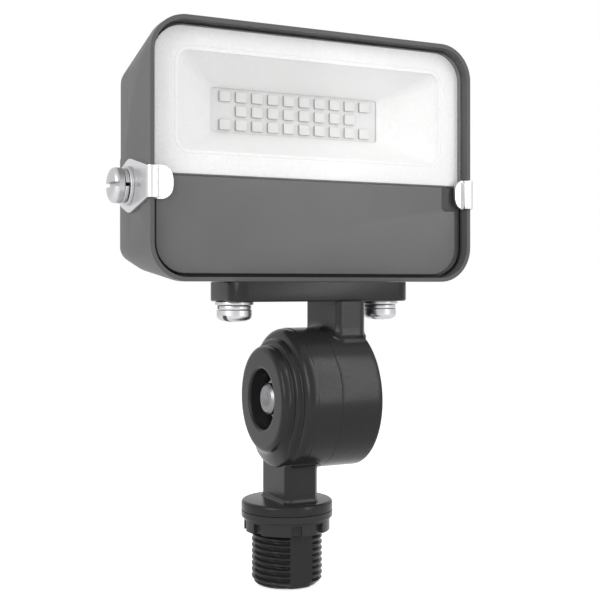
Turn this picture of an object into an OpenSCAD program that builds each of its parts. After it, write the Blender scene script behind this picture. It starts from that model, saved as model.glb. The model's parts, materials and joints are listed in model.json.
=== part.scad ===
// Small LED flood light on a threaded knuckle.
// Origin: on the thread's axis, in the face where the flange seats on its box.
// +Z is up, the lens faces -Y, and the knuckle's joint turns about the X axis.

/* [Thread and locknut] */
// Outer diameter of the threaded spigot
thread_d = 21.3; // [20:0.1:23]
// Length of the spigot below the flange
spigot_len = 21.9; // [17:0.1:26]
// Bore of the spigot, where the leads come out
spigot_bore_d = 15.2; // [12:0.2:16]
// Distance of the milled flat from the spigot's axis
flat_dist = 9.9; // [9.7:0.1:9.9]
// Diameter of the flange that seats on the box
flange_d = 27.5; // [25:0.5:32]
// Thickness of the flange
flange_t = 3; // [2:0.2:5]
// Height of the locknut
nut_h = 5.8; // [5:0.2:8]
// Thickness of the locknut's collar
nut_collar_t = 2; // [1.4:0.2:2.6]
// Diameter over the locknut's lugs
nut_lug_d = 25.8; // [25:0.2:27]
// Width of a notch between the lugs
nut_notch_w = 3.1; // [2.4:0.1:4]
// Angle between the two notches of a pair
nut_pair_angle = 35; // [30:1:45]

/* [Knuckle] */
// Height of the joint axis above the flange's seat
axis_h = 33.3; // [32:0.1:40]
// Radius of the knuckle's drum
drum_r = 21.2; // [21:0.1:24]
// Distance from the thread's axis to the joint plane
seam_x = 7.8; // [7.4:0.1:9]
// Thickness of the lower half, which carries the thread
lower_half_t = 16.4; // [16:0.2:20]
// Thickness of the upper half, which carries the plate
upper_half_t = 13.6; // [13:0.2:17]
// Width of the lower stem
lower_stem_w = 10.4; // [9.4:0.2:12]
// Depth of the lower stem
lower_stem_d = 16; // [14:0.2:18]
// Width of the upper stem
upper_stem_w = 9.8; // [9:0.2:11]
// Depth of the upper stem and of the plate
upper_stem_d = 21.4; // [18:0.2:24]
// Bevel on the stems' upright edges
stem_bevel = 1.2; // [0.8:0.1:1.8]
// Step from the drum's radius to the third tier
tier3_in = 0.2; // [0.2:0.1:0.6]
// Step from the drum's radius to the second tier
tier2_in = 3.2; // [2.8:0.1:3.6]
// Step from the drum's radius to the first tier
tier1_in = 5.2; // [5:0.1:5.8]
// Diameter of the knuckle's bolt
bolt_d = 9.5; // [8:0.1:9.6]
// Diameter of the recesses for the bolt's head and nut
recess_d = 18; // [17.4:0.1:18.4]
// Width across the flats of the bolt's head and nut
bolt_hex = 14.3; // [13:0.1:14.6]
// Thickness of the bolt's head
bolt_head_t = 6; // [5:0.2:7]
// Thickness of the jam nut
jam_nut_t = 5.5; // [4:0.2:6]
// Depth of the nut's recess
nut_recess = 11; // [10.4:0.2:11.6]
// Depth of the bolt's end below the face
bolt_end_in = 1.5; // [1:0.1:3]
// Diameter of the way for the leads through the stems
wireway_d = 6; // [5:0.2:6.4]

/* [Mounting plate] */
// Length of the plate under the head
plate_w = 59.6; // [56:0.2:66]
// Thickness of the plate
plate_t = 5.9; // [4.8:0.1:7]
// Distance from the joint axis to the plate's underside
neck_h = 29.2; // [28:0.2:34]
// Corner radius of the plate
plate_corner_r = 4.8; // [3:0.2:6]
// Distance of each plate screw from the plate's end
plate_screw_in = 5; // [5:0.1:8]
// How far the plate screws sit behind the joint axis
plate_screw_y = 0.5; // [0.4:0.1:3]
// How far the way for the leads sits behind the joint axis
wire_y = 4.6; // [4.4:0.1:5.4]
// Thickness of the gasket in the plate's top
plate_gasket_t = 0.8; // [0.5:0.1:1.2]

/* [Housing] */
// Width of the housing at its rim
head_w = 107; // [104:1:124]
// Height of the housing at its rim
head_h = 75.2; // [74:0.2:84]
// Depth of the housing
head_depth = 30.2; // [29.6:0.2:36]
// How far the rim stands in front of the joint axis
rim_front = 8; // [7.8:0.1:8.8]
// Corner radius of the rim
rim_r = 11; // [9:0.5:13]
// Thickness of the rim's front edge
rim_wall = 1.25; // [1:0.05:1.6]
// Drop of the housing's top towards its back
top_drop = 8.6; // [6:0.1:10]
// Rise of the housing's underside towards its back
bottom_rise = 5.8; // [4:0.1:7]
// Thickness of the housing's outer walls
wall = 2.4; // [2:0.1:3]
// Number of cooling fins on the back
fin_count = 14; // [10:1:16]
// Thickness of a cooling fin
fin_t = 2; // [1.6:0.1:2.6]
// Thickness of the wall behind the LED board
led_wall = 2.2; // [2:0.1:2.8]

/* [Front] */
// How far the lens lies behind the rim's front edge
lens_recess = 2; // [1.6:0.1:2.4]
// Thickness of the lens and of the driver cover
lens_t = 2; // [1.6:0.1:2.2]
// Gap between the lens and the rim all round
lens_gap = 1; // [0.6:0.1:1.2]
// Height of the joint between the lens and the driver cover
split_h = 30.1; // [28:0.1:31]
// Thickness of the gasket behind the lens
gasket_t = 0.8; // [0.6:0.1:1]
// Width of the gasket
gasket_w = 3; // [2.4:0.1:3.4]
// Width of the reflector's window
window_w = 88; // [84:1:90]
// Height of the reflector's window
window_h = 28.7; // [26:0.1:30]
// Width of the reflector's floor
floor_w = 57.6; // [54:0.2:62]
// Height of the reflector's floor
floor_h = 13.6; // [12.6:0.1:15]
// Thickness of the reflector's wall
reflector_t = 1; // [0.8:0.1:1.2]
// Height of the reflector's centre above the housing's bottom
window_z = 51.95; // [51.6:0.1:53]
// Depth of the reflector from its flange to the LED board
reflector_depth = 13.8; // [12.6:0.1:14.2]

/* [Light source] */
// Width of an LED chip
chip_w = 3.7; // [3:0.1:4.2]
// Height of an LED chip
chip_h = 3.2; // [2.6:0.1:3.5]
// Distance between neighbouring LED columns
chip_pitch_x = 5.38; // [4.6:0.02:5.5]
// Distance between LED rows
chip_pitch_z = 4.3; // [3.8:0.1:4.6]
// Thickness of an LED chip
chip_t = 0.7; // [0.4:0.1:0.9]
// Thickness of the LED board
led_board_t = 1.6; // [1:0.1:2]

/* [Side clips] */
// Thickness of the clip's sheet
clip_t = 1; // [0.8:0.1:1]
// Height of the clip's side plate at its two points
clip_span = 15.8; // [14:0.2:16.8]
// Height of the side plate's back edge
clip_back_h = 10; // [9:0.2:12]
// Reach of the side plate behind its screw
clip_back_in = 9; // [7:0.2:10]
// Height of the clip's tab
clip_tab_h = 8.9; // [8:0.1:10]
// Reach of the left tab over the lens
left_tab = 5.7; // [3:0.1:6]
// Reach of the right tab over the lens
right_tab = 3.7; // [3:0.1:6]
// Width of the notch in the driver cover under the left tab
left_notch = 4.6; // [3:0.1:5]
// Width of the notch in the driver cover under the right tab
right_notch = 8.2; // [6:0.1:9]
// Distance of the clip's screw behind the rim's front edge
clip_screw_in = 17; // [16:0.2:18]
// Core diameter of the clip screws and plate screws
screw_d = 4.2; // [3.6:0.1:4.4]
// Diameter of their heads
screw_head_d = 10.4; // [9:0.1:11]
// Height of their heads
screw_head_h = 3.6; // [2.8:0.1:4.4]
// Thickness of the flat washers
washer_t = 1; // [0.8:0.1:1.4]
// Thickness of the spring washers
spring_t = 1.4; // [1:0.1:1.8]

/* [Driver] */
// Width of the driver's board
driver_w = 74; // [70:1:76]
// Height of the driver's board
driver_h = 17; // [16:0.2:17.6]
// Thickness of the driver's board
driver_t = 1.6; // [1:0.1:2]
// Height of the posts behind the driver's board
post_h = 2.6; // [2:0.1:3.4]

/* [Hidden] */
$fn = 64;

// Clearances
running = 0.05;    // radial, between a shaft and its bore
seam_gap = 0.2;    // between the knuckle's two halves
fit_gap = 0.3;     // between loose neighbours
eps = 0.01;        // how far a cutter runs past the face it opens

// Small details of fixed size
edge_r = 0.8;
tip_chamfer = 1.2;
neck_in = 0.35;
flare = 1.2;
drum_edge_r = 0.6;
tier1_round = 1.7;
tier2_round = 1.1;
tier3_round = 2.4;
tier2_at = 3.3;
tier3_at = 5.3;
drum_at = 8.6;
cavity_wall = 1.5;
cavity_depth = 9.5;
upper_cavity_depth = 10;
upper_recess = 8;
bolt_washer_t = 1.6;
seal_r = 0.85;
seal_groove = 1.75;
pad_in = 2;
plate_margin = 1.6;
slot_wall = 1;
cheek_in = 0.5;
cheek_round = 5;
slot_rise = 12;
notch_depth = 1.2;
tab_round = 3.8;
m3_r = 1.5;
m3_head_r = 2.7;
m3_head_h = 1.8;
lead_r = 0.8;
lead_gap = 2.6;
lead_in = 20;

// Driver's parts, whose places along X are measured from the head's centre
core_x = 8;
core_w = 14;
core_d = 11;
core_h = 13;
core_leg = 3;
big_cap_x = -8;
big_cap_r = 4.2;
small_cap_x = 1;
small_cap_r = 3.2;
cap_h = 10;
choke_x = 26.2;
choke_r = 3.7;
choke_h = 5;
terminal_w = 9;
terminal_h = 8;

// Places along Z
nut_top = -0.1;
plate_z = axis_h + neck_h;
head_z0 = plate_z + plate_t;
head_z1 = head_z0 + head_h;
split_z = head_z0 + split_h;
led_z = head_z0 + window_z;
clip_z = split_z - 2.3;

// Places along X, with the head centred on the knuckle's joint plane
head_cx = seam_x;
head_x0 = head_cx - head_w / 2;
lower_face_x = seam_x - lower_half_t;
upper_face_x = seam_x + upper_half_t;
upper_stem_x = upper_face_x - upper_stem_w / 2;
wire_x = upper_stem_x;
plate_screw_gap = plate_w - 2 * plate_screw_in;

// Places along Y, from the rim backwards
rim_y = -rim_front;
back_y = rim_y + head_depth;
lens_y0 = rim_y + lens_recess;
lens_y1 = lens_y0 + lens_t;
flange_y1 = lens_y1 + reflector_t;
ledge_y = flange_y1 + gasket_t;
led_board_y = lens_y1 + reflector_depth;
led_wall_y = led_board_y + led_board_t;
slot_y = led_wall_y + led_wall;
driver_wall_y = back_y - wall;
driver_y = driver_wall_y - post_h - driver_t;
clip_y = rim_y + clip_screw_in;

// Openings of the housing's front
open_w = head_w - 2 * rim_wall;
open_z0 = head_z0 + rim_wall;
open_z1 = head_z1 - rim_wall;
lens_w = open_w - 2 * lens_gap;
lens_z0 = open_z0 + lens_gap;
lens_z1 = open_z1 - lens_gap;
lens_r = rim_r - rim_wall - lens_gap;
bay_w = lens_w - 2 * gasket_w;
bay_z1 = lens_z1 - gasket_w;
bay_z0 = lens_z0 + gasket_w + 2.5;
shelf_t = 2.4;
shelf_z = split_z + 0.6;
bay_top = led_z + window_h / 2 + reflector_t - fit_gap;
driver_z = (bay_z0 + shelf_z) / 2;
driver_bay_h = shelf_z - bay_z0;

// A quarter round from [r - s, x] to [r, x + s], for the lathe profiles
function quarter(r, x, s, n = 6) =
    [for (i = [0:n]) [r - s + s * sin(90 * i / n), x + s - s * cos(90 * i / n)]];

// A quarter round that turns back in, from [r, x - s] to [r - s, x]
function quarter_back(r, x, s, n = 6) =
    [for (i = [0:n]) [r - s + s * cos(90 * i / n), x - s + s * sin(90 * i / n)]];

// Rounded rectangle in the XY plane, from its corners' circles
module rounded_rect(w, z0, z1, r) {
    r2 = min(r, (z1 - z0) / 2 - eps, w / 2 - eps);
    union() {
        translate([-w / 2 + r2, z0]) square([w - 2 * r2, z1 - z0]);
        translate([-w / 2, z0 + r2]) square([w, z1 - z0 - 2 * r2]);
        for (sx = [-1, 1], z = [z0 + r2, z1 - r2])
            translate([sx * (w / 2 - r2), z]) circle(r = r2);
    }
}

// Stands a flat outline (x, z) upright about the head's centre, from y0 to y1
module upright(y0, y1) {
    translate([head_cx, y1, 0]) rotate([90, 0, 0])
        linear_extrude(height = y1 - y0) children();
}

// Lays children on the joint axis, with their Z along +X from x
module on_joint(x) {
    translate([x, 0, axis_h]) rotate([0, 90, 0]) children();
}

// Bevelled rectangle, the section of both stems
module stem_section(w, d, b) {
    polygon([
        [-w / 2 + b, -d / 2], [w / 2 - b, -d / 2], [w / 2, -d / 2 + b], [w / 2, d / 2 - b],
        [w / 2 - b, d / 2], [-w / 2 + b, d / 2], [-w / 2, d / 2 - b], [-w / 2, -d / 2 + b]
    ]);
}

// Screw with a domed, slotted head below z = 0 and its shank above
module domed_screw(len) {
    dome = 1.2;
    slot_w = 1;
    slot_h = 1.3;
    difference() {
        rotate_extrude() polygon(concat(
            [[0, -screw_head_h]],
            [for (i = [0:6]) [
                screw_head_d / 2 * sin(90 * i / 6),
                -screw_head_h + dome - dome * cos(90 * i / 6)
            ]],
            [[screw_head_d / 2, 0], [screw_d / 2, 0], [screw_d / 2, len], [0, len]]
        ));
        translate([-screw_head_d, -slot_w / 2, -screw_head_h - eps])
            cube([2 * screw_head_d, slot_w, slot_h]);
    }
}

module ring(r_out, r_in, h) {
    difference() {
        cylinder(r = r_out, h = h);
        translate([0, 0, -eps]) cylinder(r = r_in, h = h + 2 * eps);
    }
}

// Split lock washer, cut open by a narrow slanted gap
module spring_washer() {
    gap = 0.9;
    difference() {
        ring(screw_head_d / 2 - 0.3, screw_d / 2 + running, spring_t);
        translate([screw_d / 2 - 0.5, 0, spring_t / 2]) rotate([35, 0, 0])
            translate([0, -gap / 2, -spring_t * 2]) cube([screw_head_d, gap, spring_t * 4]);
    }
}

module flat_washer() ring(screw_head_d / 2 + 0.4, screw_d / 2 + running, washer_t);

// Puts children on each side screw's axis, with their Z pointing out of the housing
module at_clip_screws(out) {
    for (s = [-1, 1])
        translate([head_cx + s * (head_w / 2 + out), clip_y, clip_z])
            rotate([0, s * 90, 0]) children();
}

// Puts children under the plate on each plate screw's axis
module at_plate_screws(down) {
    for (s = [-1, 1])
        translate([head_cx + s * plate_screw_gap / 2, plate_screw_y, plate_z - down]) children();
}

// Outline of the space between two fins, seen from the side as [y, z].
// It leaves the driver's box at the bottom and opens at the top and back.
slot_z0 = split_z + 3;
slot_run = back_y - slot_y;
function slot_curve(y, z) = concat(
    [for (i = [0:8]) [
        y + (back_y - y) * (1 - sin(90 * i / 8)),
        slot_z0 + (z - slot_z0) * (1 - cos(90 * i / 8))
    ]],
    [[y, head_z1 + 1], [back_y + 1, head_z1 + 1], [back_y + 1, slot_z0]]
);

module slot_cutter(x, w, y) {
    translate([x + w, 0, 0]) rotate([90, 0, -90])
        mirror([1, 0, 0]) linear_extrude(height = w)
            polygon(slot_curve(y, slot_z0 + slot_rise));
}

// Shallow recess in each side behind the cheek's edge, which runs down and swings back
module cheek_cutter(x, w) {
    y = slot_y - 1.4;
    translate([x + w, 0, 0]) rotate([90, 0, -90]) mirror([1, 0, 0]) linear_extrude(height = w)
        polygon(concat(
            corner([y, head_z1], [y, slot_z0 + slot_rise], [back_y, slot_z0 + 1.8], cheek_round, 6),
            [[back_y + 1, slot_z0 + 0.8], [back_y + 1, head_z1 + 1], [y, head_z1 + 1]]
        ));
}

// Section of the housing, whose lower and upper corners have their own radii
module head_section(rise, drop, low_r, high_r, inset) {
    x = head_w / 2 - inset;
    z0 = head_z0 + rise + inset;
    z1 = head_z1 - drop - inset;
    r0 = low_r - inset;
    r1 = high_r - inset;
    polygon(concat(
        arc([x - r1, z1 - r1], r1, 0, 90), arc([r1 - x, z1 - r1], r1, 90, 180),
        arc([r0 - x, z0 + r0], r0, 180, 270), arc([x - r0, z0 + r0], r0, 270, 360)
    ));
}

// Housing's outer form: a straight band behind the rim, then a box whose underside
// rises, top drops and corners tighten towards the rounded back face
module housing_form() {
    rim_band = 4;
    back_round = 1.6;
    steps = 3;
    hull() {
        upright(rim_y, rim_y + rim_band) rounded_rect(head_w, head_z0, head_z1, rim_r);
        upright(back_y * 0.55, back_y * 0.55 + eps)
            head_section(bottom_rise / 2, top_drop * 0.64, rim_r * 0.64, rim_r, 0);
        for (i = [0:steps]) {
            a = 90 * i / steps;
            y = back_y - back_round * (1 - sin(a));
            upright(y - 0.02, y) head_section(bottom_rise, top_drop, rim_r * 0.42, rim_r * 0.75,
                back_round * (1 - cos(a)));
        }
    }
}

module housing() {
    pad_z1 = head_z0 + 8;
    boss_r = screw_d / 2 + 2.4;
    boss_len = 9;
    fin_pitch = (head_w - 2 * slot_wall - fin_t) / fin_count;
    color([0.46, 0.46, 0.47]) difference() {
        union() {
            difference() {
                union() {
                    housing_form();
                    mounting_pad(pad_z1);
                }
                upright(rim_y - eps, ledge_y)
                    rounded_rect(open_w, open_z0, open_z1, rim_r - rim_wall);
                upright(ledge_y - eps, led_wall_y)
                    rounded_rect(bay_w, shelf_z + shelf_t, bay_top, lens_r - gasket_w);
                upright(ledge_y - eps, driver_wall_y)
                    rounded_rect(bay_w, bay_z0, shelf_z, 3);
                for (i = [0:fin_count - 1])
                    slot_cutter(head_x0 + slot_wall + fin_t + i * fin_pitch, fin_pitch - fin_t, slot_y);
                for (x = [head_x0 - 1, head_x0 + head_w - cheek_in])
                    cheek_cutter(x, cheek_in + 1);
            }
            for (s = [-1, 1])
                translate([head_cx + s * (head_w / 2 - 0.4), clip_y, clip_z])
                    rotate([0, -s * 90, 0]) cylinder(r = boss_r, h = boss_len);
            for (sx = [-1, 1])
                translate([head_cx + sx * driver_post_x, driver_wall_y + eps, driver_z])
                    rotate([90, 0, 0]) cylinder(r = m3_r + 1.6, h = post_h + eps);
        }
        // Threaded holes for the clip screws
        for (s = [-1, 1])
            translate([head_cx + s * (head_w / 2 + eps), clip_y, clip_z])
                rotate([0, -s * 90, 0]) cylinder(r = screw_d / 2 + running, h = boss_len - 1);
        // Threaded holes for the plate screws
        for (s = [-1, 1])
            translate([head_cx + s * plate_screw_gap / 2, plate_screw_y, head_z0 - eps])
                cylinder(r = screw_d / 2 + running, h = plate_hole_h);
        // Way for the leads from the knuckle into the driver's bay
        translate([wire_x, wire_y, head_z0 - eps]) cylinder(r = wireway_d / 2 + 1.6, h = bay_z0 - head_z0 + 1);
        // Way for the LED leads through the shelf
        translate([lead_x, lead_y, shelf_z - 1]) cylinder(r = 3.4, h = shelf_t + 2);
        // Holes for the LED board's screws and the driver's screws
        for (sx = [-1, 1], sz = [-1, 1])
            translate([head_cx + sx * led_screw_x, led_wall_y - eps, led_z + sz * led_screw_z])
                rotate([-90, 0, 0]) cylinder(r = m3_r + running, h = 1.7);
        for (sx = [-1, 1])
            translate([head_cx + sx * driver_post_x, driver_wall_y - post_h - eps, driver_z])
                rotate([-90, 0, 0]) cylinder(r = m3_r + running, h = post_h + 1.2);
    }
}

// Flat pad under the housing that the knuckle's plate bolts to
module mounting_pad(z1) {
    pad_d = upper_stem_d / 2 + rim_front;
    translate([head_cx - plate_w / 2 + pad_in, rim_y, head_z0])
        cube([plate_w - 2 * pad_in, pad_d, z1 - head_z0]);
}

plate_hole_h = 4;
driver_post_x = driver_w / 2 - 4;
led_screw_x = floor_w / 2 + 7;
led_screw_z = floor_h / 2 - 1;
lead_x = head_cx - lead_in;
lead_y = led_board_y - lead_r;
terminal_z1 = driver_z + terminal_h / 2;

module lens_gasket() {
    color([0.12, 0.12, 0.12]) difference() {
        upright(flange_y1, ledge_y) rounded_rect(lens_w, lens_z0, lens_z1, lens_r);
        upright(flange_y1 - 1, ledge_y + 1)
            rounded_rect(bay_w, lens_z0 + gasket_w, bay_z1, lens_r - gasket_w);
    }
}

// The lens outline above the split, and the cover's below it
module front_outline(upper) {
    intersection() {
        rounded_rect(lens_w, lens_z0, lens_z1, lens_r);
        if (upper) translate([-lens_w, split_z + 0.1]) square([2 * lens_w, head_h]);
        else translate([-lens_w, split_z - 0.1 - head_h]) square([2 * lens_w, head_h]);
    }
}

module lens() {
    color([0.93, 0.95, 0.96, 0.35]) upright(lens_y0, lens_y1) front_outline(true);
}

module driver_cover() {
    lip = gasket_w - 0.4;
    color([0.42, 0.42, 0.43]) difference() {
        union() {
            upright(lens_y0, lens_y1) front_outline(false);
            upright(lens_y1 - eps, flange_y1) difference() {
                front_outline(false);
                rounded_rect(lens_w - 2 * lip, lens_z0 + lip, split_z + lip, lens_r - lip);
            }
        }
        cover_notch(-1, left_notch, clip_tab_h / 2 + 1.9);
        cover_notch(1, right_notch, clip_tab_h / 2 + 3.1);
    }
}

// Pocket in the cover's upper corner, under the clip's tab
module cover_notch(side, w, drop) {
    r = 1.5;
    x0 = side < 0 ? -open_w / 2 - 2 : open_w / 2 - w;
    upright(lens_y0 - 1, lens_y0 + notch_depth) union() {
        translate([x0, split_z - drop + r]) square([w + 2, drop + 2]);
        translate([x0 + r, split_z - drop]) square([w + 2 - 2 * r, drop]);
        for (dx = [r, w + 2 - r]) translate([x0 + dx, split_z - drop + r]) circle(r = r);
    }
}

// Reflector: a flange behind the lens and a funnel down to the LED board
module reflector() {
    window_r = 3.6;
    floor_r = 1.2;
    thin = 0.02;
    t = reflector_t;
    color([0.95, 0.95, 0.95]) difference() {
        union() {
            upright(lens_y1 + 0.02, flange_y1) difference() {
                front_outline(true);
                translate([-lens_w, split_z]) square([2 * lens_w, 0.8]);
            }
            hull() {
                upright(flange_y1 - thin, flange_y1)
                    rounded_rect(window_w + 2 * t, led_z - window_h / 2 - t, led_z + window_h / 2 + t,
                        window_r + t);
                upright(led_board_y - fit_gap - thin, led_board_y - fit_gap)
                    rounded_rect(floor_w + 2 * t, led_z - floor_h / 2 - t, led_z + floor_h / 2 + t,
                        floor_r + t);
            }
        }
        hull() {
            upright(lens_y1 - 0.5, lens_y1 + 0.05)
                rounded_rect(window_w, led_z - window_h / 2, led_z + window_h / 2, window_r);
            upright(led_board_y - thin, led_board_y)
                rounded_rect(floor_w, led_z - floor_h / 2, led_z + floor_h / 2, floor_r);
        }
    }
}

module led_board() {
    board_w = 2 * (led_screw_x + m3_head_r + 0.6);
    board_h = floor_h + 7.6;
    color([0.92, 0.92, 0.9]) difference() {
        upright(led_board_y, led_wall_y)
            rounded_rect(board_w, led_z - board_h / 2, led_z + board_h / 2, 1.5);
        for (sx = [-1, 1], sz = [-1, 1])
            translate([head_cx + sx * led_screw_x, led_board_y - 1, led_z + sz * led_screw_z])
                rotate([-90, 0, 0]) cylinder(r = m3_r + 0.1, h = led_board_t + 2);
    }
}

// Three rows of chips, the middle row two chips shorter
module led_chips() {
    columns = 10;
    color([0.96, 0.93, 0.72])
    for (row = [-1:1], i = [0:columns - 1])
        if (row != 0 || (i > 0 && i < columns - 1))
            translate([
                head_cx + (i - (columns - 1) / 2) * chip_pitch_x - chip_w / 2,
                led_board_y - chip_t,
                led_z + row * chip_pitch_z - chip_h / 2
            ]) cube([chip_w, chip_t, chip_h]);
}

module m3_screw(len) {
    cylinder(r = m3_head_r, h = m3_head_h);
    translate([0, 0, -len]) cylinder(r = m3_r, h = len + eps);
}

module led_board_screws() {
    color([0.75, 0.75, 0.76])
    for (sx = [-1, 1], sz = [-1, 1])
        translate([head_cx + sx * led_screw_x, led_board_y, led_z + sz * led_screw_z])
            rotate([90, 0, 0]) m3_screw(led_board_t + 1.4);
}

// Two insulated leads from the driver's terminals up to the LED board
module led_leads() {
    z1 = led_z - floor_h / 2 - reflector_t - lead_r - fit_gap;
    color([0.75, 0.1, 0.08])
    for (dx = [-lead_gap / 2, lead_gap / 2])
        translate([lead_x + dx, lead_y, terminal_z1]) cylinder(r = lead_r, h = z1 - terminal_z1);
}

module driver_board() {
    color([0.1, 0.35, 0.18]) difference() {
        translate([head_cx - driver_w / 2, driver_y, driver_z - driver_h / 2])
            cube([driver_w, driver_t, driver_h]);
        for (sx = [-1, 1])
            translate([head_cx + sx * driver_post_x, driver_y - 1, driver_z])
                rotate([-90, 0, 0]) cylinder(r = m3_r + 0.1, h = driver_t + 2);
    }
}

module driver_screws() {
    color([0.75, 0.75, 0.76])
    for (sx = [-1, 1])
        translate([head_cx + sx * driver_post_x, driver_y, driver_z])
            rotate([90, 0, 0]) m3_screw(driver_t + post_h);
}

// Wound transformer: an E core round a bobbin
module driver_transformer() {
    w = core_w;
    d = core_d;
    h = core_h;
    leg = core_leg;
    color([0.2, 0.2, 0.2]) translate([head_cx + core_x, driver_y - d, driver_z - h / 2]) union() {
        cube([leg, d, h]);
        translate([w - leg, 0, 0]) cube([leg, d, h]);
        translate([leg - 1, d - leg, 0]) cube([w - 2 * leg + 2, leg, h]);
        translate([leg - 1, 0, 0]) cube([w - 2 * leg + 2, leg - 0.6, h]);
        translate([w / 2, d / 2, 1]) cylinder(r = (w - 2 * leg) / 2 - 0.4, h = h - 2);
    }
}

module driver_capacitors() {
    color([0.12, 0.14, 0.3])
    for (c = [[big_cap_x, big_cap_r], [small_cap_x, small_cap_r]])
        translate([head_cx + c[0], driver_y, driver_z]) rotate([90, 0, 0])
            cylinder(r = c[1], h = cap_h);
}

// Toroidal choke lying on the board
module driver_choke() {
    color([0.55, 0.32, 0.12]) translate([head_cx + choke_x, driver_y, driver_z])
        rotate([90, 0, 0]) ring(choke_r, choke_r - 2.2, choke_h);
}

module driver_terminals() {
    color([0.15, 0.45, 0.2]) difference() {
        translate([lead_x - terminal_w / 2, lead_y - 2.4, terminal_z1 - terminal_h])
            cube([terminal_w, driver_y - lead_y + 2.4, terminal_h]);
        for (dx = [-lead_gap / 2, lead_gap / 2])
            translate([lead_x + dx, lead_y - 3, terminal_z1 - terminal_h / 2])
                rotate([-90, 0, 0]) cylinder(r = lead_r, h = 1.6);
    }
}

// Points on a circle's arc about c, from angle a0 to a1
function arc(c, r, a0, a1, n = 12) =
    [for (i = [0:n]) let (a = a0 + (a1 - a0) * i / n) [c[0] + r * cos(a), c[1] + r * sin(a)]];

// Arc that rounds the corner b of the path a, b, c
function corner(a, b, c, r, n = 4) = let (
    u = (a - b) / norm(a - b), v = (c - b) / norm(c - b),
    half = acos(u * v) / 2, mid = b + (u + v) / norm(u + v) * r / sin(half),
    p = b + u * r / tan(half) - mid, q = b + v * r / tan(half) - mid, turn = 180 - 2 * half
) [for (i = [0:n]) mid + (p * sin(turn * (1 - i / n)) + q * sin(turn * i / n)) / sin(turn)];

// Sheet clip: a side plate with two blunt points at its screw, which narrows to a bent tab
module side_clip(side, reach) {
    half = clip_tab_h / 2;
    to_bend = clip_y - rim_y;
    front = [half, -to_bend];
    point = [clip_span / 2, 0.3];
    back = [clip_back_h / 2, clip_back_in];
    edge = concat([front], corner(front, point, back, 1.2),
        corner(point, back, [0, clip_back_in], 1.6));
    x_out = head_w / 2 + clip_t;
    leg_x = open_w / 2 - fit_gap / 2;
    tab_r = min(tab_round, reach - 0.4);
    tab_x = reach - leg_x;
    color([0.8, 0.8, 0.81]) translate([head_cx, 0, clip_z]) mirror([side > 0 ? 1 : 0, 0, 0])
    union() {
        difference() {
            translate([-x_out, clip_y, 0]) rotate([0, 90, 0]) linear_extrude(height = clip_t)
                polygon(concat(
                    [front - [0, clip_t]], edge,
                    [for (i = [len(edge) - 1:-1:0]) [-edge[i][0], edge[i][1]]],
                    [[-half, -to_bend - clip_t]]
                ));
            translate([-x_out - 1, clip_y, 0]) rotate([0, 90, 0])
                cylinder(r = screw_d / 2 + running, h = clip_t + 2);
        }
        // Over the rim, down inside it, and flat on the lens
        translate([-x_out, rim_y - clip_t, -half]) cube([x_out - leg_x + clip_t, clip_t, 2 * half]);
        translate([-leg_x, rim_y - clip_t, -half])
            cube([clip_t, lens_y0 - rim_y + clip_t, 2 * half]);
        translate([0, lens_y0, 0]) rotate([90, 0, 0]) linear_extrude(height = clip_t)
            polygon(concat(
                [[-leg_x, -half]], arc([tab_x - tab_r, tab_r - half], tab_r, -90, 0),
                arc([tab_x - tab_r, half - tab_r], tab_r, 0, 90), [[-leg_x, half]]
            ));
    }
}

module clip_left() side_clip(-1, left_tab);
module clip_right() side_clip(1, right_tab);

module clip_washers() {
    color([0.72, 0.72, 0.73]) at_clip_screws(clip_t) flat_washer();
}

module clip_spring_washers() {
    color([0.7, 0.7, 0.72]) at_clip_screws(clip_t + washer_t) spring_washer();
}

module clip_screws() {
    color([0.78, 0.78, 0.8]) at_clip_screws(clip_t + washer_t + spring_t)
        mirror([0, 0, 1]) rotate([0, 0, 90]) domed_screw(clip_t + washer_t + spring_t + 7);
}

// Upper casting: the drum's right half, its stem and the plate
module knuckle_upper() {
    stem_z0 = axis_h + drum_r - 6;
    x0 = seam_x + seam_gap / 2;
    len = upper_face_x - x0;
    color([0.24, 0.24, 0.25]) difference() {
        union() {
            on_joint(x0) rotate_extrude() polygon(concat(
                [[0, 0], [drum_r, 0]], quarter_back(drum_r, len, drum_edge_r), [[0, len]]
            ));
            translate([upper_stem_x, 0, stem_z0]) linear_extrude(height = plate_z - stem_z0 + 1)
                stem_section(upper_stem_w, upper_stem_d, stem_bevel);
            translate([0, 0, plate_z]) linear_extrude(height = plate_t) plate_outline(0);
        }
        // Recess for the bolt's head, the bolt's bore and the way for the leads
        on_joint(upper_face_x - upper_recess) cylinder(d = recess_d, h = upper_recess + 1);
        on_joint(x0 - 1) cylinder(r = bolt_d / 2 + running, h = len + 2);
        on_joint(x0 - eps) ring(drum_r - 6.2, recess_d / 2 + cavity_wall, upper_cavity_depth);
        translate([wire_x, wire_y, axis_h + recess_d / 2 + cavity_wall])
            cylinder(d = wireway_d, h = head_z0 - axis_h);
        at_plate_screws(1) cylinder(r = screw_d / 2 + 0.25, h = plate_t + 2);
        translate([0, 0, head_z0 - plate_gasket_t]) linear_extrude(height = plate_gasket_t + 1)
            gasket_outline();
    }
}

// Plate outline centred under the head, drawn in by a margin
module plate_outline(margin) {
    d = upper_stem_d;
    translate([head_cx, 0]) rounded_rect(plate_w - 2 * margin, -d / 2 + margin, d / 2 - margin,
        plate_corner_r - margin);
}

// Outline of the gasket between the two plate screws, and of its pocket in the plate
module gasket_outline() {
    translate([head_cx, 0]) rounded_rect(plate_screw_gap - screw_head_d,
        rim_y + plate_margin, upper_stem_d / 2 - plate_margin, plate_margin);
}

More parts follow.
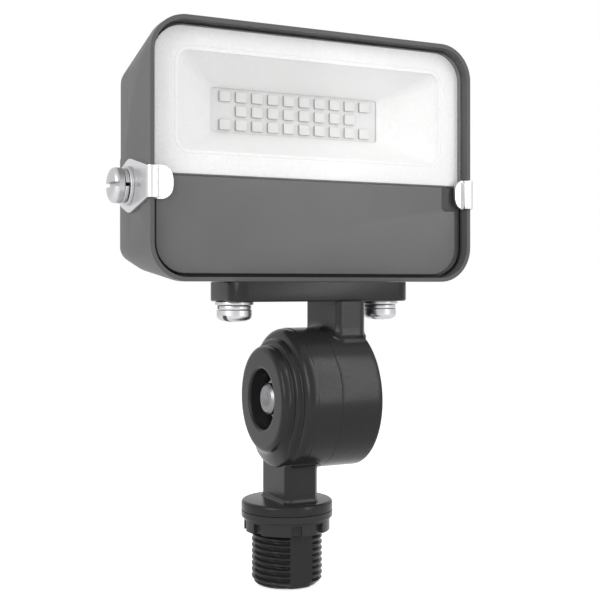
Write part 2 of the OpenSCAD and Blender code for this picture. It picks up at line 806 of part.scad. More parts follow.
module plate_gasket() {
    color([0.1, 0.1, 0.1]) difference() {
        translate([0, 0, head_z0 - plate_gasket_t]) linear_extrude(height = plate_gasket_t)
            gasket_outline();
        translate([wire_x, wire_y, 0]) cylinder(r = wireway_d / 2 + 1.6, h = 2 * head_z0);
    }
}

// Rubber grommet that lines the housing's lead hole
module wire_grommet() {
    r = wireway_d / 2 + 1.6;
    color([0.1, 0.1, 0.1]) translate([wire_x, wire_y, head_z0]) difference() {
        cylinder(r = r - running, h = bay_z0 - head_z0 + 0.8);
        translate([0, 0, -1]) cylinder(r = wireway_d / 2 - 0.4, h = bay_z0 - head_z0 + 3);
    }
}

module plate_washers() {
    color([0.72, 0.72, 0.73]) at_plate_screws(washer_t) flat_washer();
}

module plate_spring_washers() {
    color([0.7, 0.7, 0.72]) at_plate_screws(washer_t + spring_t) spring_washer();
}

module plate_screws() {
    color([0.78, 0.78, 0.8]) at_plate_screws(washer_t + spring_t)
        domed_screw(washer_t + spring_t + plate_t + plate_hole_h - 0.5);
}

// Lower casting: the drum's tiered left half, its stem, the flange and the spigot
module knuckle_lower() {
    len = lower_half_t - seam_gap / 2;
    stem_z1 = axis_h - recess_d / 2 - cavity_wall;
    profile = concat(
        [[0, 0]],
        quarter(drum_r - tier1_in, 0, tier1_round),
        quarter(drum_r - tier2_in, tier2_at, tier2_round),
        quarter(drum_r - tier3_in, tier3_at, tier3_round),
        quarter(drum_r, drum_at, tier3_in),
        [[drum_r, len], [0, len]]
    );
    color([0.24, 0.24, 0.25]) difference() {
        union() {
            on_joint(lower_face_x) rotate_extrude() polygon(profile);
            translate([0, 0, flange_t - 1]) linear_extrude(height = stem_z1 - flange_t + 1)
                stem_section(lower_stem_w, lower_stem_d, stem_bevel);
            hull() {
                translate([0, 0, flange_t - 0.1]) linear_extrude(height = 0.1)
                    stem_section(lower_stem_w + 2 * flare, lower_stem_d + 2 * flare,
                        stem_bevel + flare / 2);
                translate([0, 0, flange_t + flare]) linear_extrude(height = 0.1)
                    stem_section(lower_stem_w, lower_stem_d, stem_bevel);
            }
            rotate_extrude() polygon(concat(
                [[0, 0], [flange_d / 2, 0]],
                quarter_back(flange_d / 2, flange_t, edge_r), [[0, flange_t]]
            ));
            spigot();
        }
        // Bore for the leads, which narrows through the stem
        translate([0, 0, -spigot_len - 1]) cylinder(d = spigot_bore_d, h = spigot_len + 1);
        translate([0, 0, -1]) cylinder(d = wireway_d, h = axis_h - recess_d / 2 - cavity_wall + 1);
        // Nut's recess, bolt's bore, inner cavity and the seal's groove
        on_joint(lower_face_x - 1) cylinder(d = recess_d, h = nut_recess + 1);
        on_joint(lower_face_x) cylinder(r = bolt_d / 2 + running, h = lower_half_t + 1);
        on_joint(lower_face_x + len - cavity_depth)
            ring(drum_r - 6.2, recess_d / 2 + cavity_wall, cavity_depth + 1);
        on_joint(lower_face_x + len - seal_groove) ring(seal_mid + 1, seal_mid - 1, seal_groove + 1);
    }
}

seal_mid = drum_r - 3.6;

// Threaded spigot with its milled flat, in plain form.
// Behind the locknut the thread runs out into a slightly thinner neck.
module spigot() {
    neck_h = nut_h - nut_top + 0.2;
    difference() {
        union() {
            translate([0, 0, -neck_h]) cylinder(r = thread_d / 2 - neck_in, h = neck_h + eps);
            translate([0, 0, -spigot_len + tip_chamfer])
                cylinder(d = thread_d, h = spigot_len - tip_chamfer - neck_h);
            translate([0, 0, -spigot_len])
                cylinder(d1 = thread_d - 1.6 * tip_chamfer, d2 = thread_d, h = tip_chamfer);
        }
        translate([-thread_d, -thread_d - flat_dist, -spigot_len - 1])
            cube([2 * thread_d, thread_d, spigot_len + 1]);
    }
}

// Bolt through both halves, its head in the right recess and its end in the left
module knuckle_bolt() {
    seat = upper_face_x - upper_recess + bolt_washer_t + 0.1;
    x0 = lower_face_x + bolt_end_in;
    color([0.7, 0.7, 0.71]) union() {
        on_joint(x0) cylinder(d = bolt_d, h = seat - x0 + eps);
        on_joint(seat) cylinder(d = bolt_hex / cos(30), h = min(bolt_head_t, upper_recess - 2), $fn = 6);
    }
}

module knuckle_washer() {
    color([0.6, 0.6, 0.61]) on_joint(upper_face_x - upper_recess + 0.1)
        ring(recess_d / 2 - 0.4, bolt_d / 2 + running, bolt_washer_t);
}

module knuckle_nut() {
    color([0.2, 0.2, 0.2]) on_joint(lower_face_x + nut_recess - jam_nut_t) difference() {
        cylinder(d = bolt_hex / cos(30), h = jam_nut_t, $fn = 6);
        translate([0, 0, -1]) cylinder(r = bolt_d / 2 + running, h = jam_nut_t + 2);
    }
}

// Round seal in the lower half's groove
module knuckle_seal() {
    x = seam_x - seam_gap / 2 - seal_groove + seal_r;
    color([0.08, 0.08, 0.08]) on_joint(x) rotate_extrude()
        translate([seal_mid, 0]) circle(r = seal_r, $fn = 24);
}

// Locknut with a collar and four pairs of notches
module locknut() {
    turn = 5;
    notch_in = thread_d / 2 + 0.9;
    color([0.22, 0.22, 0.23]) translate([0, 0, nut_top - nut_h]) difference() {
        union() {
            cylinder(d = nut_lug_d, h = nut_h);
            translate([0, 0, nut_h - nut_collar_t]) rotate_extrude() polygon(concat(
                [[0, 0]], quarter(flange_d / 2, 0, edge_r / 2),
                [[flange_d / 2, nut_collar_t], [0, nut_collar_t]]
            ));
        }
        translate([0, 0, -1]) cylinder(r = thread_d / 2 + running, h = nut_h + 2);
        for (q = [0:90:270], s = [-0.5, 0.5])
            rotate([0, 0, q + turn + s * nut_pair_angle])
                translate([notch_in, -nut_notch_w / 2, -eps])
                    cube([flange_d, nut_notch_w, nut_h - nut_collar_t - 0.8]);
    }
}

housing();
lens_gasket();
lens();
driver_cover();
reflector();
led_board();
led_chips();
led_board_screws();
led_leads();
driver_board();
driver_transformer();
driver_capacitors();
driver_choke();
driver_terminals();
driver_screws();
clip_left();
clip_right();
clip_screws();
clip_spring_washers();
clip_washers();
knuckle_upper();
plate_gasket();
wire_grommet();
plate_screws();
plate_spring_washers();
plate_washers();
knuckle_lower();
knuckle_bolt();
knuckle_washer();
knuckle_nut();
knuckle_seal();
locknut();
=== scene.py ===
# %% [markdown]
# # A small LED flood light on a threaded knuckle
# The light has three groups of pieces: a die-cast head with its window and
# driver bay, a round knuckle whose two halves turn on a bolt, and a threaded
# spigot with a locknut that fixes it all to a junction box.
# The CAD model fixes every place and size. This notebook dresses it: castings
# get soft edges and powder coat, steel gets grain, and the spigot gets a thread.

import json
import math

import bmesh
import bpy
import numpy as np
from mathutils import Matrix, Vector

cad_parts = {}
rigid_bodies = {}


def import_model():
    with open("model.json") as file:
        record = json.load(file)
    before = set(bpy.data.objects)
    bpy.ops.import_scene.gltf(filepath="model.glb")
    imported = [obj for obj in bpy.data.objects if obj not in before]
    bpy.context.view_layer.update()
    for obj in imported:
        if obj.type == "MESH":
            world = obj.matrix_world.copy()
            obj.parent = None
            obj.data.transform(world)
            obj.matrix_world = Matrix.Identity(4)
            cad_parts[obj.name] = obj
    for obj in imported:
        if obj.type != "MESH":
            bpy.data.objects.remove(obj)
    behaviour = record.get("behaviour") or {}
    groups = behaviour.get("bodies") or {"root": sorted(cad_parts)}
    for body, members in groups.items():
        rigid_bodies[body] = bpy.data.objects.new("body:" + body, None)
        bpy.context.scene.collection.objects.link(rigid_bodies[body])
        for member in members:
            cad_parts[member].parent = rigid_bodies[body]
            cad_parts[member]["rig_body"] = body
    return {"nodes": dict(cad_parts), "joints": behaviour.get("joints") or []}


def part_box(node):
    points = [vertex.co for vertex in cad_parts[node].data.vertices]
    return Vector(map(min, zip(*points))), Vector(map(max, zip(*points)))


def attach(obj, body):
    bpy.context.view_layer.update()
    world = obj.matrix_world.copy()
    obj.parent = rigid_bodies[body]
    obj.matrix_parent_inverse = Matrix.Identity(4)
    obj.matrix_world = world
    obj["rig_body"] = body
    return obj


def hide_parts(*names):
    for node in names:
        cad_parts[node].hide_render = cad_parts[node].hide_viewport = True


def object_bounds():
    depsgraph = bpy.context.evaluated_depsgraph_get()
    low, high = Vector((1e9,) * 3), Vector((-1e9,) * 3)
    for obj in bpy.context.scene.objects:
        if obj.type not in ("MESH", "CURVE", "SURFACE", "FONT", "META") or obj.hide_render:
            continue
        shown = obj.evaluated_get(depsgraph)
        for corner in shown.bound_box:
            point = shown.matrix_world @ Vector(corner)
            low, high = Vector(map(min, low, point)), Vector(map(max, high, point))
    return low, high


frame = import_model()
nodes = frame["nodes"]
cad_low, cad_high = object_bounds()
scene = bpy.context.scene
scene.view_settings.view_transform = "Standard"
MM = 0.001
print("CAD box in mm:", [round(x / MM, 1) for x in (*cad_low, *cad_high)])

# %% [markdown]
# ## Places that come from the frame
# A size that the CAD model already has is read from its nodes, so the dressed
# pieces stay where the solids are when a size changes. All values are in mm.

# %% Read the places
def node_box(name):
    """Lowest and highest corner of a CAD node, in mm."""
    low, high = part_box(name)
    return np.array(low) / MM, np.array(high) / MM


def node_middle(name, axis):
    """The middle of a CAD node along one axis, in mm."""
    low, high = node_box(name)
    return (low[axis] + high[axis]) / 2


def joint_place(name):
    """The named joint's position, in mm."""
    joint = next(j for j in frame["joints"] if j["name"] == name)
    return np.array(joint["pos_m"]) / MM


HEAD_LOW, HEAD_HIGH = node_box("housing")
LENS_LOW, LENS_HIGH = node_box("lens")
COVER_LOW, COVER_HIGH = node_box("driver_cover")
LOWER_LOW, LOWER_HIGH = node_box("knuckle_lower")
UPPER_LOW, UPPER_HIGH = node_box("knuckle_upper")
SEAM_X, _, AXIS_Z = joint_place("head_tilt")
CENTRE_X = node_middle("housing", 0)
RIM_Y = HEAD_LOW[1]
DRUM_R = LOWER_HIGH[1]
print("head centre x", CENTRE_X, "seam x", SEAM_X, "axis z", AXIS_Z)

# %% [markdown]
# ## Surfaces as grids of points
# Every new piece is a surface with two parameters. numpy works out all its
# points at once as an array of rows and columns, and neighbouring points make
# the faces. Where rows or columns meet again, the surface wraps round. Blender's
# primitives and booleans could make many of these pieces, but a formula keeps
# each rounded edge where it is wanted, and can be read and changed.

# %% Grids of points
def grid(points, wrap_columns=True, wrap_rows=False, capped=False):
    """Vertices and faces of a surface given as an array (rows, columns, 3), in mm. Each
    face joins a point with the next one in its row and the two beside them in the next
    row. A capped surface also has one face over its first row and one over its last."""
    rows, columns = points.shape[:2]
    index = np.arange(rows * columns).reshape(rows, columns)
    first, last = index[0].tolist(), index[-1].tolist()
    if wrap_columns:
        index = np.hstack([index, index[:, :1]])
    if wrap_rows:
        index = np.vstack([index, index[:1]])
    quads = np.stack([index[:-1, :-1], index[:-1, 1:], index[1:, 1:], index[1:, :-1]], -1)
    faces = quads.reshape(-1, 4).tolist()
    faces += [first[::-1], last] * capped
    return points.reshape(-1, 3), faces


def together(*parts):
    """Several surfaces as one: their vertices in a row, their faces renumbered."""
    starts = np.cumsum([0] + [len(p) for p, _ in parts])
    faces = [[i + s for i in f] for (_, fs), s in zip(parts, starts) for f in fs]
    return np.concatenate([p for p, _ in parts]), faces


# %% Outlines with rounded corners
def unit(vector):
    """The vector over its length."""
    return vector / np.linalg.norm(vector)


def rounded_path(corners, radii, steps=6):
    """A polyline whose corners are arcs: each arc starts and ends radius / tan(half the
    corner's angle) from the corner, about a centre on the corner's bisector."""
    corners = [np.array(c, float) for c in corners]
    path = [corners[0][None]]
    for before, corner, after, radius in zip(corners, corners[1:], corners[2:], radii):
        if radius <= 0:
            path.append(corner[None])
            continue
        a, b = unit(before - corner), unit(after - corner)
        half = math.acos(np.clip(a @ b, -1, 1)) / 2
        centre = corner + unit(a + b) * radius / math.sin(half)
        start = corner + a * radius / math.tan(half) - centre
        end = corner + b * radius / math.tan(half) - centre
        sweep = math.pi - 2 * half
        t = np.linspace(0, sweep, steps + 1)[:, None]
        path.append(centre + (np.sin(sweep - t) * start + np.sin(t) * end) / math.sin(sweep))
    path.append(corners[-1][None])
    return np.concatenate(path)


def rounded_loop(low, high, radii, steps=10):
    """A rectangle's outline, counter-clockwise from its upper right, with a quarter
    circle of its own radius at each corner."""
    radii = np.broadcast_to(radii, 4)
    turns = np.linspace(0, math.pi / 2, steps + 1)
    sides = np.array([[1, 1], [-1, 1], [-1, -1], [1, -1]])
    corners = np.where(sides > 0, high, low) - sides * radii[:, None]
    angles = turns + np.arange(4)[:, None] * math.pi / 2
    arcs = np.stack([np.cos(angles), np.sin(angles)], -1) * radii[:, None, None]
    return (corners[:, None] + arcs).reshape(-1, 2)


# %% Lofts and lathes
def loft(loops, depths, upright=True, **ends):
    """Flat loops stacked at their depths: upright loops lie in XZ and are stacked along
    Y, the others lie in XY and are stacked along Z."""
    loops = np.array(loops, float)
    depth = np.broadcast_to(np.array(depths, float)[:, None], loops.shape[:2])
    order = [loops[..., 0], depth, loops[..., 1]] if upright else [loops[..., 0], loops[..., 1], depth]
    return grid(np.stack(order, -1), **ends)


def lathe(profile, steps, **ends):
    """A profile of (along, radius) turned about the local X axis: at each step of the
    turn, Y and Z are the radius times the turn's cosine and sine."""
    turn = np.linspace(0, 2 * math.pi, steps, endpoint=False)
    along, radius = np.array(profile, float).T
    points = np.stack([
        np.broadcast_to(along[:, None], (len(along), steps)),
        radius[:, None] * np.cos(turn), radius[:, None] * np.sin(turn)
    ], -1)
    return grid(points, **ends)


def orient(surface, origin, out, up):
    """Stands a surface on origin: its local X, Y and Z become steps along out, along up
    cross out, and along up."""
    points, faces = surface
    out, up = np.array(out, float), np.array(up, float)
    basis = np.stack([out, np.cross(up, out), up])
    return points @ basis + np.array(origin, float), faces


def on_axis(surface, x):
    """Puts a turned surface on the knuckle's axis, with its start at x."""
    return orient(surface, (x, 0, AXIS_Z), (1, 0, 0), (0, 0, 1))


# %% [markdown]
# ## From points to pieces
# A piece is one object that rides on a body of the model and stands for one or
# more CAD solids. Its doubles are merged first, since seams, poles and CAD
# triangles have points that only lie together, and no shading is smooth there.

# %% Make an object from a surface
MERGE_DIST = 0.002  # mm: points closer together than this are one
FLAT_ANGLE = 0.5  # degrees: CAD faces that meet at less than this are one
SMOOTH_ANGLE = 35  # degrees: faces that meet at less than this are shaded as one


def merge(mesh, smooth, from_cad):
    """Merges a mesh's doubles and shades it smooth below an angle. A CAD mesh gets its
    flat faces joined, and a new one gets its faces turned outwards."""
    shape = bmesh.new()
    shape.from_mesh(mesh)
    bmesh.ops.remove_doubles(shape, verts=shape.verts, dist=MERGE_DIST * MM)
    if from_cad:
        bmesh.ops.dissolve_limit(
            shape, angle_limit=math.radians(FLAT_ANGLE), verts=shape.verts, edges=shape.edges
        )
    else:
        bmesh.ops.recalc_face_normals(shape, faces=shape.faces)
    shape.to_mesh(mesh)
    shape.free()
    mesh.shade_smooth()
    mesh.set_sharp_from_angle(angle=math.radians(smooth))


def paint(mesh, material):
    """Makes a material the mesh's only one."""
    mesh.materials.clear()
    mesh.materials.append(material)


def make_piece(name, surface, material, body, replaces, smooth=SMOOTH_ANGLE):
    """A closed piece from a surface's points in mm and its faces."""
    points, faces = surface
    mesh = bpy.data.meshes.new(name)
    mesh.from_pydata((np.asarray(points) * MM).tolist(), [], faces)
    merge(mesh, smooth, from_cad=False)
    return dress(name, mesh, material, body, replaces)


def dress(name, mesh, material, body, replaces):
    """Links a mesh as a piece that rides on a body and stands for CAD nodes."""
    piece = bpy.data.objects.new(name, mesh)
    scene.collection.objects.link(piece)
    paint(mesh, material)
    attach(piece, body)
    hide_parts(*replaces)
    print(f"{name}: {len(mesh.polygons)} faces")
    return piece


def soften(piece, width, angle=38):
    """Rounds the piece's sharp edges with a bevel modifier of this width in mm."""
    bevel = piece.modifiers.new("soft edges", "BEVEL")
    bevel.width = width * MM
    bevel.segments = 2
    bevel.limit_method = "ANGLE"
    bevel.angle_limit = math.radians(angle)


def soft_copy(node, edge, material):
    """A merged copy of a CAD node with small rounded edges, which stands for the node."""
    source = nodes[node]
    mesh = source.data.copy()
    merge(mesh, SMOOTH_ANGLE, from_cad=True)
    piece = dress(node + "_finished", mesh, material, source["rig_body"], [node])
    soften(piece, edge)


# %% [markdown]
# ## Finishes
# Powder coat has a fine pebbled skin, a little uneven in gloss. Stainless steel
# shows fine parallel grain. The moulded white reflector is covered in tiny
# dimples that scatter the light. Photographs of such skins could be wrapped round
# the pieces, but noise needs no unwrapping and has no seams. Each skin is a node
# group, built once, and each material places it with its own values.

# %% Small helpers for shader nodes
def srgb(code):
    """A colour from its hex code, as linear values: above a small threshold, each
    channel over 255 is raised to the power of 2.4."""
    parts = np.array([int(code[i : i + 2], 16) for i in (0, 2, 4)]) / 255
    linear = np.where(parts <= 0.04045, parts / 12.92, ((parts + 0.055) / 1.055) ** 2.4)
    return (*linear.tolist(), 1.0)


def add(tree, kind, inputs, **settings):
    """Adds a shader node, and sets or links its inputs by name or number."""
    made = tree.nodes.new(kind)
    for key, value in settings.items():
        setattr(made, key, value)
    for key, value in inputs.items():
        if isinstance(value, bpy.types.NodeSocket):
            tree.links.new(value, made.inputs[key])
        else:
            made.inputs[key].default_value = value
    return made


def scaled(tree, value, low, high):
    """Maps a value from 0.3..0.7, where noise mostly lies, to low..high."""
    ranged = add(tree, "ShaderNodeMapRange", {
        "Value": value, "From Min": 0.3, "From Max": 0.7, "To Min": low, "To Max": high
    })
    return ranged.outputs["Result"]


# %% What all skins share
SOCKETS = {"colour": "NodeSocketColor", "value": "NodeSocketFloat", "vector": "NodeSocketVector"}
SKIN_OUTPUTS = {"Colour": "colour", "Roughness": "value", "Normal": "vector"}


def new_skin(name, inputs):
    """A node group with named inputs and the outputs of every skin. It comes with the
    sockets of its inputs and with the place on the object."""
    group = bpy.data.node_groups.new(name, "ShaderNodeTree")
    for way, sockets in (("INPUT", inputs), ("OUTPUT", SKIN_OUTPUTS)):
        for title, kind in sockets.items():
            group.interface.new_socket(title, in_out=way, socket_type=SOCKETS[kind])
    given = group.nodes.new("NodeGroupInput").outputs
    return group, given, add(group, "ShaderNodeTexCoord", {}).outputs["Object"]


def finish_skin(group, given, tone, rough, height, depth):
    """Tints the colour by a tone, raises the height by a depth in metres, and links the
    skin's outputs."""
    tinted = add(group, "ShaderNodeVectorMath", {
        0: given["Colour"], "Scale": tone
    }, operation="SCALE")
    bump = add(group, "ShaderNodeBump", {
        "Height": height, "Strength": given["Relief"], "Distance": depth
    })
    add(group, "NodeGroupOutput", {
        "Colour": tinted.outputs["Vector"], "Roughness": rough, "Normal": bump.outputs["Normal"]
    })
    return group


def uneven_gloss(group, given, noise, spread):
    """The given loss of gloss, made uneven by a noise."""
    uneven = scaled(group, noise, -spread, spread)
    return add(group, "ShaderNodeMath", {0: given["Gloss loss"], 1: uneven}).outputs["Value"]


# %% The powder coat's pebbled skin
def powder_skin():
    """Fine noise as relief and uneven gloss, coarse noise as a slight change of tone."""
    group, given, place = new_skin("PowderSkin", {
        "Colour": "colour", "Gloss loss": "value", "Pebble scale": "value", "Relief": "value"
    })
    pebble = add(group, "ShaderNodeTexNoise", {
        "Vector": place, "Scale": given["Pebble scale"], "Detail": 3.0
    }).outputs["Fac"]
    cloud = add(group, "ShaderNodeTexNoise", {"Vector": place, "Scale": 60.0, "Detail": 2.0})
    tone = scaled(group, cloud.outputs["Fac"], 0.95, 1.05)
    rough = uneven_gloss(group, given, pebble, 0.05)
    return finish_skin(group, given, tone, rough, pebble, 0.0001)


POWDER = powder_skin()
print(POWDER.name, "has", len(POWDER.nodes), "nodes")


# %% Grain in steel
def grain_skin():
    """Noise with a scale for each axis, which makes fine parallel scratches where one
    axis has a much larger scale than the others."""
    group, given, place = new_skin("SteelGrain", {
        "Colour": "colour", "Gloss loss": "value", "Stretch": "vector", "Relief": "value"
    })
    stretched = add(group, "ShaderNodeVectorMath", {
        0: place, 1: given["Stretch"]
    }, operation="MULTIPLY")
    lines = add(group, "ShaderNodeTexNoise", {
        "Vector": stretched.outputs["Vector"], "Scale": 1.0, "Detail": 4.0
    }).outputs["Fac"]
    tone = scaled(group, lines, 0.97, 1.02)
    rough = uneven_gloss(group, given, lines, 0.03)
    return finish_skin(group, given, tone, rough, lines, 0.00005)


GRAIN = grain_skin()
print(GRAIN.name, "has", len(GRAIN.nodes), "nodes")


# %% Dimples in moulded white plastic
def dimple_skin():
    """Cells of a Voronoi pattern as shallow bumps that scatter light."""
    group, given, place = new_skin("Dimples", {
        "Colour": "colour", "Cells": "value", "Relief": "value"
    })
    cells = add(group, "ShaderNodeTexVoronoi", {
        "Vector": place, "Scale": given["Cells"]
    }).outputs["Distance"]
    tone = scaled(group, cells, 1.02, 0.96)
    rough = scaled(group, cells, 0.35, 0.5)
    return finish_skin(group, given, tone, rough, cells, 0.0002)


DIMPLES = dimple_skin()
print(DIMPLES.name, "has", len(DIMPLES.nodes), "nodes")


# %% Materials that place a skin
def new_material(name, group, values, **shader):
    """A material whose colour, roughness and relief come from a placed skin."""
    material = bpy.data.materials.new(name)
    material.use_nodes = True
    tree = material.node_tree
    principled = tree.nodes["Principled BSDF"]
    placed = add(tree, "ShaderNodeGroup", {}, node_tree=group)
    for key, value in values.items():
        placed.inputs[key].default_value = value
    for output, socket in zip(SKIN_OUTPUTS, ("Base Color", "Roughness", "Normal")):
        tree.links.new(placed.outputs[output], principled.inputs[socket])
    for key, value in shader.items():
        principled.inputs[key.replace("_", " ")].default_value = value
    return material


def powder(name, code, gloss_loss, pebble=2600.0, relief=0.25, **shader):
    """A material with a pebbled skin: coats, and with less relief also plastics."""
    values = {"Colour": srgb(code), "Gloss loss": gloss_loss, "Pebble scale": pebble, "Relief": relief}
    return new_material(name, POWDER, values, **shader)


def steel(name, code, gloss_loss, stretch, relief=0.04):
    """A bare metal with grain."""
    values = {"Colour": srgb(code), "Gloss loss": gloss_loss, "Stretch": stretch, "Relief": relief}
    return new_material(name, GRAIN, values, Metallic=1.0)


# %% Coats of the castings and the cover
head_coat = powder("head_powder_coat", "575758", 0.42, Specular_IOR_Level=0.2)
cover_coat = powder("driver_cover_satin", "5D5D5E", 0.5, 3800.0, 0.06, Specular_IOR_Level=0.4)
# painted shade: this darker coat stands for the shade in the cover's notches and along its right edge
cover_painted_shade_coat = powder("cover_edge_painted_shade", "3A3A3B", 0.6, 3800.0, 0.06)
knuckle_coat = powder("knuckle_powder_coat", "29292A", 0.24, 2400.0, 0.12, Specular_IOR_Level=0.15)
nut_coat = powder("locknut_coat", "303031", 0.25, 2800.0, 0.1, Specular_IOR_Level=0.16)
print("the head's coat has the linear colour", [round(c, 3) for c in srgb("575758")[:3]])

# %% Rubber, plastics and boards
rubber = powder("seal_rubber", "161616", 0.7, 1800.0, 0.2)
ferrite = powder("ferrite_black", "242424", 0.6, 1500.0, 0.3)
board_green = powder("board_green", "1C5A2E", 0.35, 900.0, 0.1)
sleeve = powder("capacitor_sleeve", "20263C", 0.3, 1200.0, 0.1)
copper = powder("choke_copper", "8A4A22", 0.35, 1400.0, 0.3, Metallic=0.6)
terminal_green = powder("terminal_green", "2A7038", 0.4, 1500.0, 0.1)
lead_red = powder("lead_insulation", "A32219", 0.5, 1500.0, 0.1)
board_white = powder("board_white", "DEDEDD", 0.5, 1800.0, 0.15)
chip_white = powder("chip_white", "DADAD8", 0.4, 2600.0, 0.1)
# painted shade: the chip walls get a darker grey than the chip faces, so that they read as shaded
chip_wall_painted_shade = powder("chip_wall_painted_shade", "7C7C7B", 0.5, 2600.0, 0.1)
lens_clear = powder("lens_clear", "F6F7F8", 0.12, 3000.0, 0.03, Alpha=0.1)
reflector_white = new_material("reflector_white", DIMPLES, {
    "Colour": srgb("F3F3F2"), "Cells": 1500.0, "Relief": 0.22
})

# %% Steel and zinc
bolt_steel = steel("bolt_steel", "7E7E80", 0.36, (900.0, 900.0, 900.0))
sheet_steel = steel("clip_sheet", "D2D2D3", 0.36, (150.0, 150.0, 4000.0), 0.01)
screw_steel = steel("screw_steel", "C0C0C2", 0.38, (600.0, 600.0, 600.0), 0.01)
nut_zinc = powder("nut_zinc", "A4A4A6", 0.45, 2600.0, 0.08)
print(len(bpy.data.materials), "materials")

# %% [markdown]
# ## The lower casting
# Half of the drum, its stem, the flange and the spigot are one die casting. The
# drum has tiers round the bolt's recess, so it is a lathe profile with an arc at
# each corner. The stem is a bevelled bar that swells where it meets the drum and
# the flange, as a casting must. Round the stem the tiers fade into a smooth
# swelling, by an eased function of the angle from straight down. Booleans could
# join these parts, but they leave slivers along such soft blends, so each part is
# a closed surface that runs a little way into the next.

# %% Profile of the tiered drum
HALF_LOWER = 16.4
RECESS_R = 9.0
BOLT_R = 4.8
NUT_RECESS = 11.0
DRUM_STEPS = 200
TIERS = [  # the outer corner of each tier as (from the face, radius), with its rounding
    ((0, 16.0), 1.7), ((3.3, 16.0), 0.6), ((3.3, 18.0), 1.2),
    ((5.3, 18.0), 0.6), ((5.3, 21.0), 2.4), ((8.6, 21.0), 0.0), ((8.8, 21.2), 0.0),
]
LOWER_X = SEAM_X - HALF_LOWER

lower_profile = rounded_path(
    [(NUT_RECESS, BOLT_R), (NUT_RECESS, RECESS_R), (0, RECESS_R)]
    + [corner for corner, _ in TIERS]
    + [(HALF_LOWER, DRUM_R), (HALF_LOWER, BOLT_R)],
    [0.3, 0.8] + [rounding for _, rounding in TIERS] + [0.05],
)
print("the lower drum's profile has", len(lower_profile), "points")


# %% Tiers that fade into a swelling below
FACE_R, STEM_R = 16.0, 20.0  # the swelling's radius at the left face and at the stem
TO_STEM = (1.2, 2.4)  # start and length, along the drum, of the step between these two
TO_DRUM = (2.5, 4.0)  # start and length of the step from there to the drum's radius
SWELL_END = 9.0  # where the swelling ends along the drum
SWELL_INNER = 14.5  # points nearer to the axis than this stay
SWELL_ANGLE, SWELL_FADE = 58.0, 30.0  # degrees from below where it ends, and its fade


def ease(t):
    """A step from 0 to 1 that starts and ends level: three squares less two cubes."""
    t = np.clip(t, 0, 1)
    return t * t * (3 - 2 * t)


def blend_radius(along):
    """Radius of the swelling that covers the tiers next to the stem: an eased step up
    to the stem's left face, and then a slow one to the drum."""
    to_stem = (STEM_R - FACE_R) * ease((along - TO_STEM[0]) / TO_STEM[1])
    to_drum = (DRUM_R - STEM_R) * ease((along - TO_DRUM[0]) / TO_DRUM[1])
    return FACE_R + to_stem + to_drum


def denser(path, step):
    """The same polyline with added points, so that none lie further apart than step."""
    spans = np.hypot(*np.diff(path, axis=0).T)
    count = np.maximum(1, np.ceil(spans / step).astype(int))
    s = np.concatenate([i + np.arange(n) / n for i, n in enumerate(count)] + [[len(spans)]])
    place = np.arange(len(path))
    return np.column_stack([np.interp(s, place, path[:, 0]), np.interp(s, place, path[:, 1])])


drum_points, drum_faces = lathe(denser(lower_profile, 0.5), DRUM_STEPS, wrap_rows=True)
along, y, z = drum_points.T
radius, from_below = np.hypot(y, z), np.abs(np.degrees(np.arctan2(y, -z)))
fade = ease((SWELL_ANGLE - from_below) / SWELL_FADE)
covered = (radius > SWELL_INNER) & (along > TO_STEM[0]) & (along < SWELL_END)
lift = np.where(covered, np.maximum(blend_radius(along) - radius, 0), 0) * fade
drum_points[:, 1:] *= (1 + lift / radius)[:, None]
lower_drum = on_axis((drum_points, drum_faces), LOWER_X)
print("the swelling lifts the tiers by up to", round(lift.max(), 2), "mm")

# %% Stems that swell into what they meet
SUNK = 2.6  # how far a stem's last row lies inside the drum
STEM_ROWS = np.concatenate([  # from the plate to the drum, close together at both fillets
    np.linspace(0, 0.15, 7)[:-1], np.linspace(0.15, 0.7, 6)[:-1], np.linspace(0.7, 1, 12)
])[:, None]


def stem_loop(width, depth, bevel, soft=0.25):
    """Bevelled rectangle in XY with slightly rounded corners and about a point for each
    mm, and its outward normals."""
    w, d = width / 2, depth / 2
    ring = [
        (w, 0), (w, d - bevel), (w - bevel, d), (-w + bevel, d), (-w, d - bevel),
        (-w, -d + bevel), (-w + bevel, -d), (w - bevel, -d), (w, -d + bevel), (w, 0),
    ]
    path = rounded_path(ring, [soft] * 8, 3)[:-1]
    spans = np.roll(path, -1, 0) - path
    count = np.maximum(1, np.hypot(*spans.T).astype(int))
    steps = np.concatenate([np.arange(n) / n for n in count])[:, None]
    loop = np.repeat(path, count, 0) + np.repeat(spans, count, 0) * steps
    along = np.roll(loop, -1, 0) - np.roll(loop, 1, 0)
    normal = np.stack([along[:, 1], -along[:, 0]], -1)
    return loop, normal / np.linalg.norm(normal, axis=1)[:, None]


def swell(height, radius):
    """How far a fillet of this radius stands out at a height above its surface, or a
    rounded end draws in at a distance from it: the radius less the root of its square
    less the square of what the height leaves of it."""
    inside = np.clip(radius - height, 0, radius)
    return radius - np.sqrt(radius**2 - inside**2)


def stem(centre_x, width, depth, bevel, plate_z, plate_fillet, drum_fillet, side):
    """A bar from a flat plate to the drum: at each height its outline moves out along
    its normals by the two fillets, and its last row lies inside the drum's surface.
    side is 1 for a stem above the drum, whose right face stays flat, and -1 for one
    below, whose left face stays flat where it meets the drum."""
    loop, normal = stem_loop(width, depth, bevel)
    beside = 1 - np.clip(side * normal[:, 0], 0, 1)
    x = loop[:, 0] + centre_x
    radius = blend_radius(x - LOWER_X) if side < 0 else DRUM_R
    drum_z = AXIS_Z + side * np.sqrt(radius**2 - loop[:, 1] ** 2)
    last_z = drum_z - side * SUNK
    z = plate_z + STEM_ROWS * (last_z - plate_z)
    out = swell(np.abs(z - plate_z), plate_fillet) * (beside if side > 0 else 1)
    out = out + np.minimum(swell(side * (z - drum_z), drum_fillet), drum_fillet) * beside
    points = np.stack([x + out * normal[:, 0], loop[:, 1] + out * normal[:, 1], z], -1)
    return grid(points, capped=True)


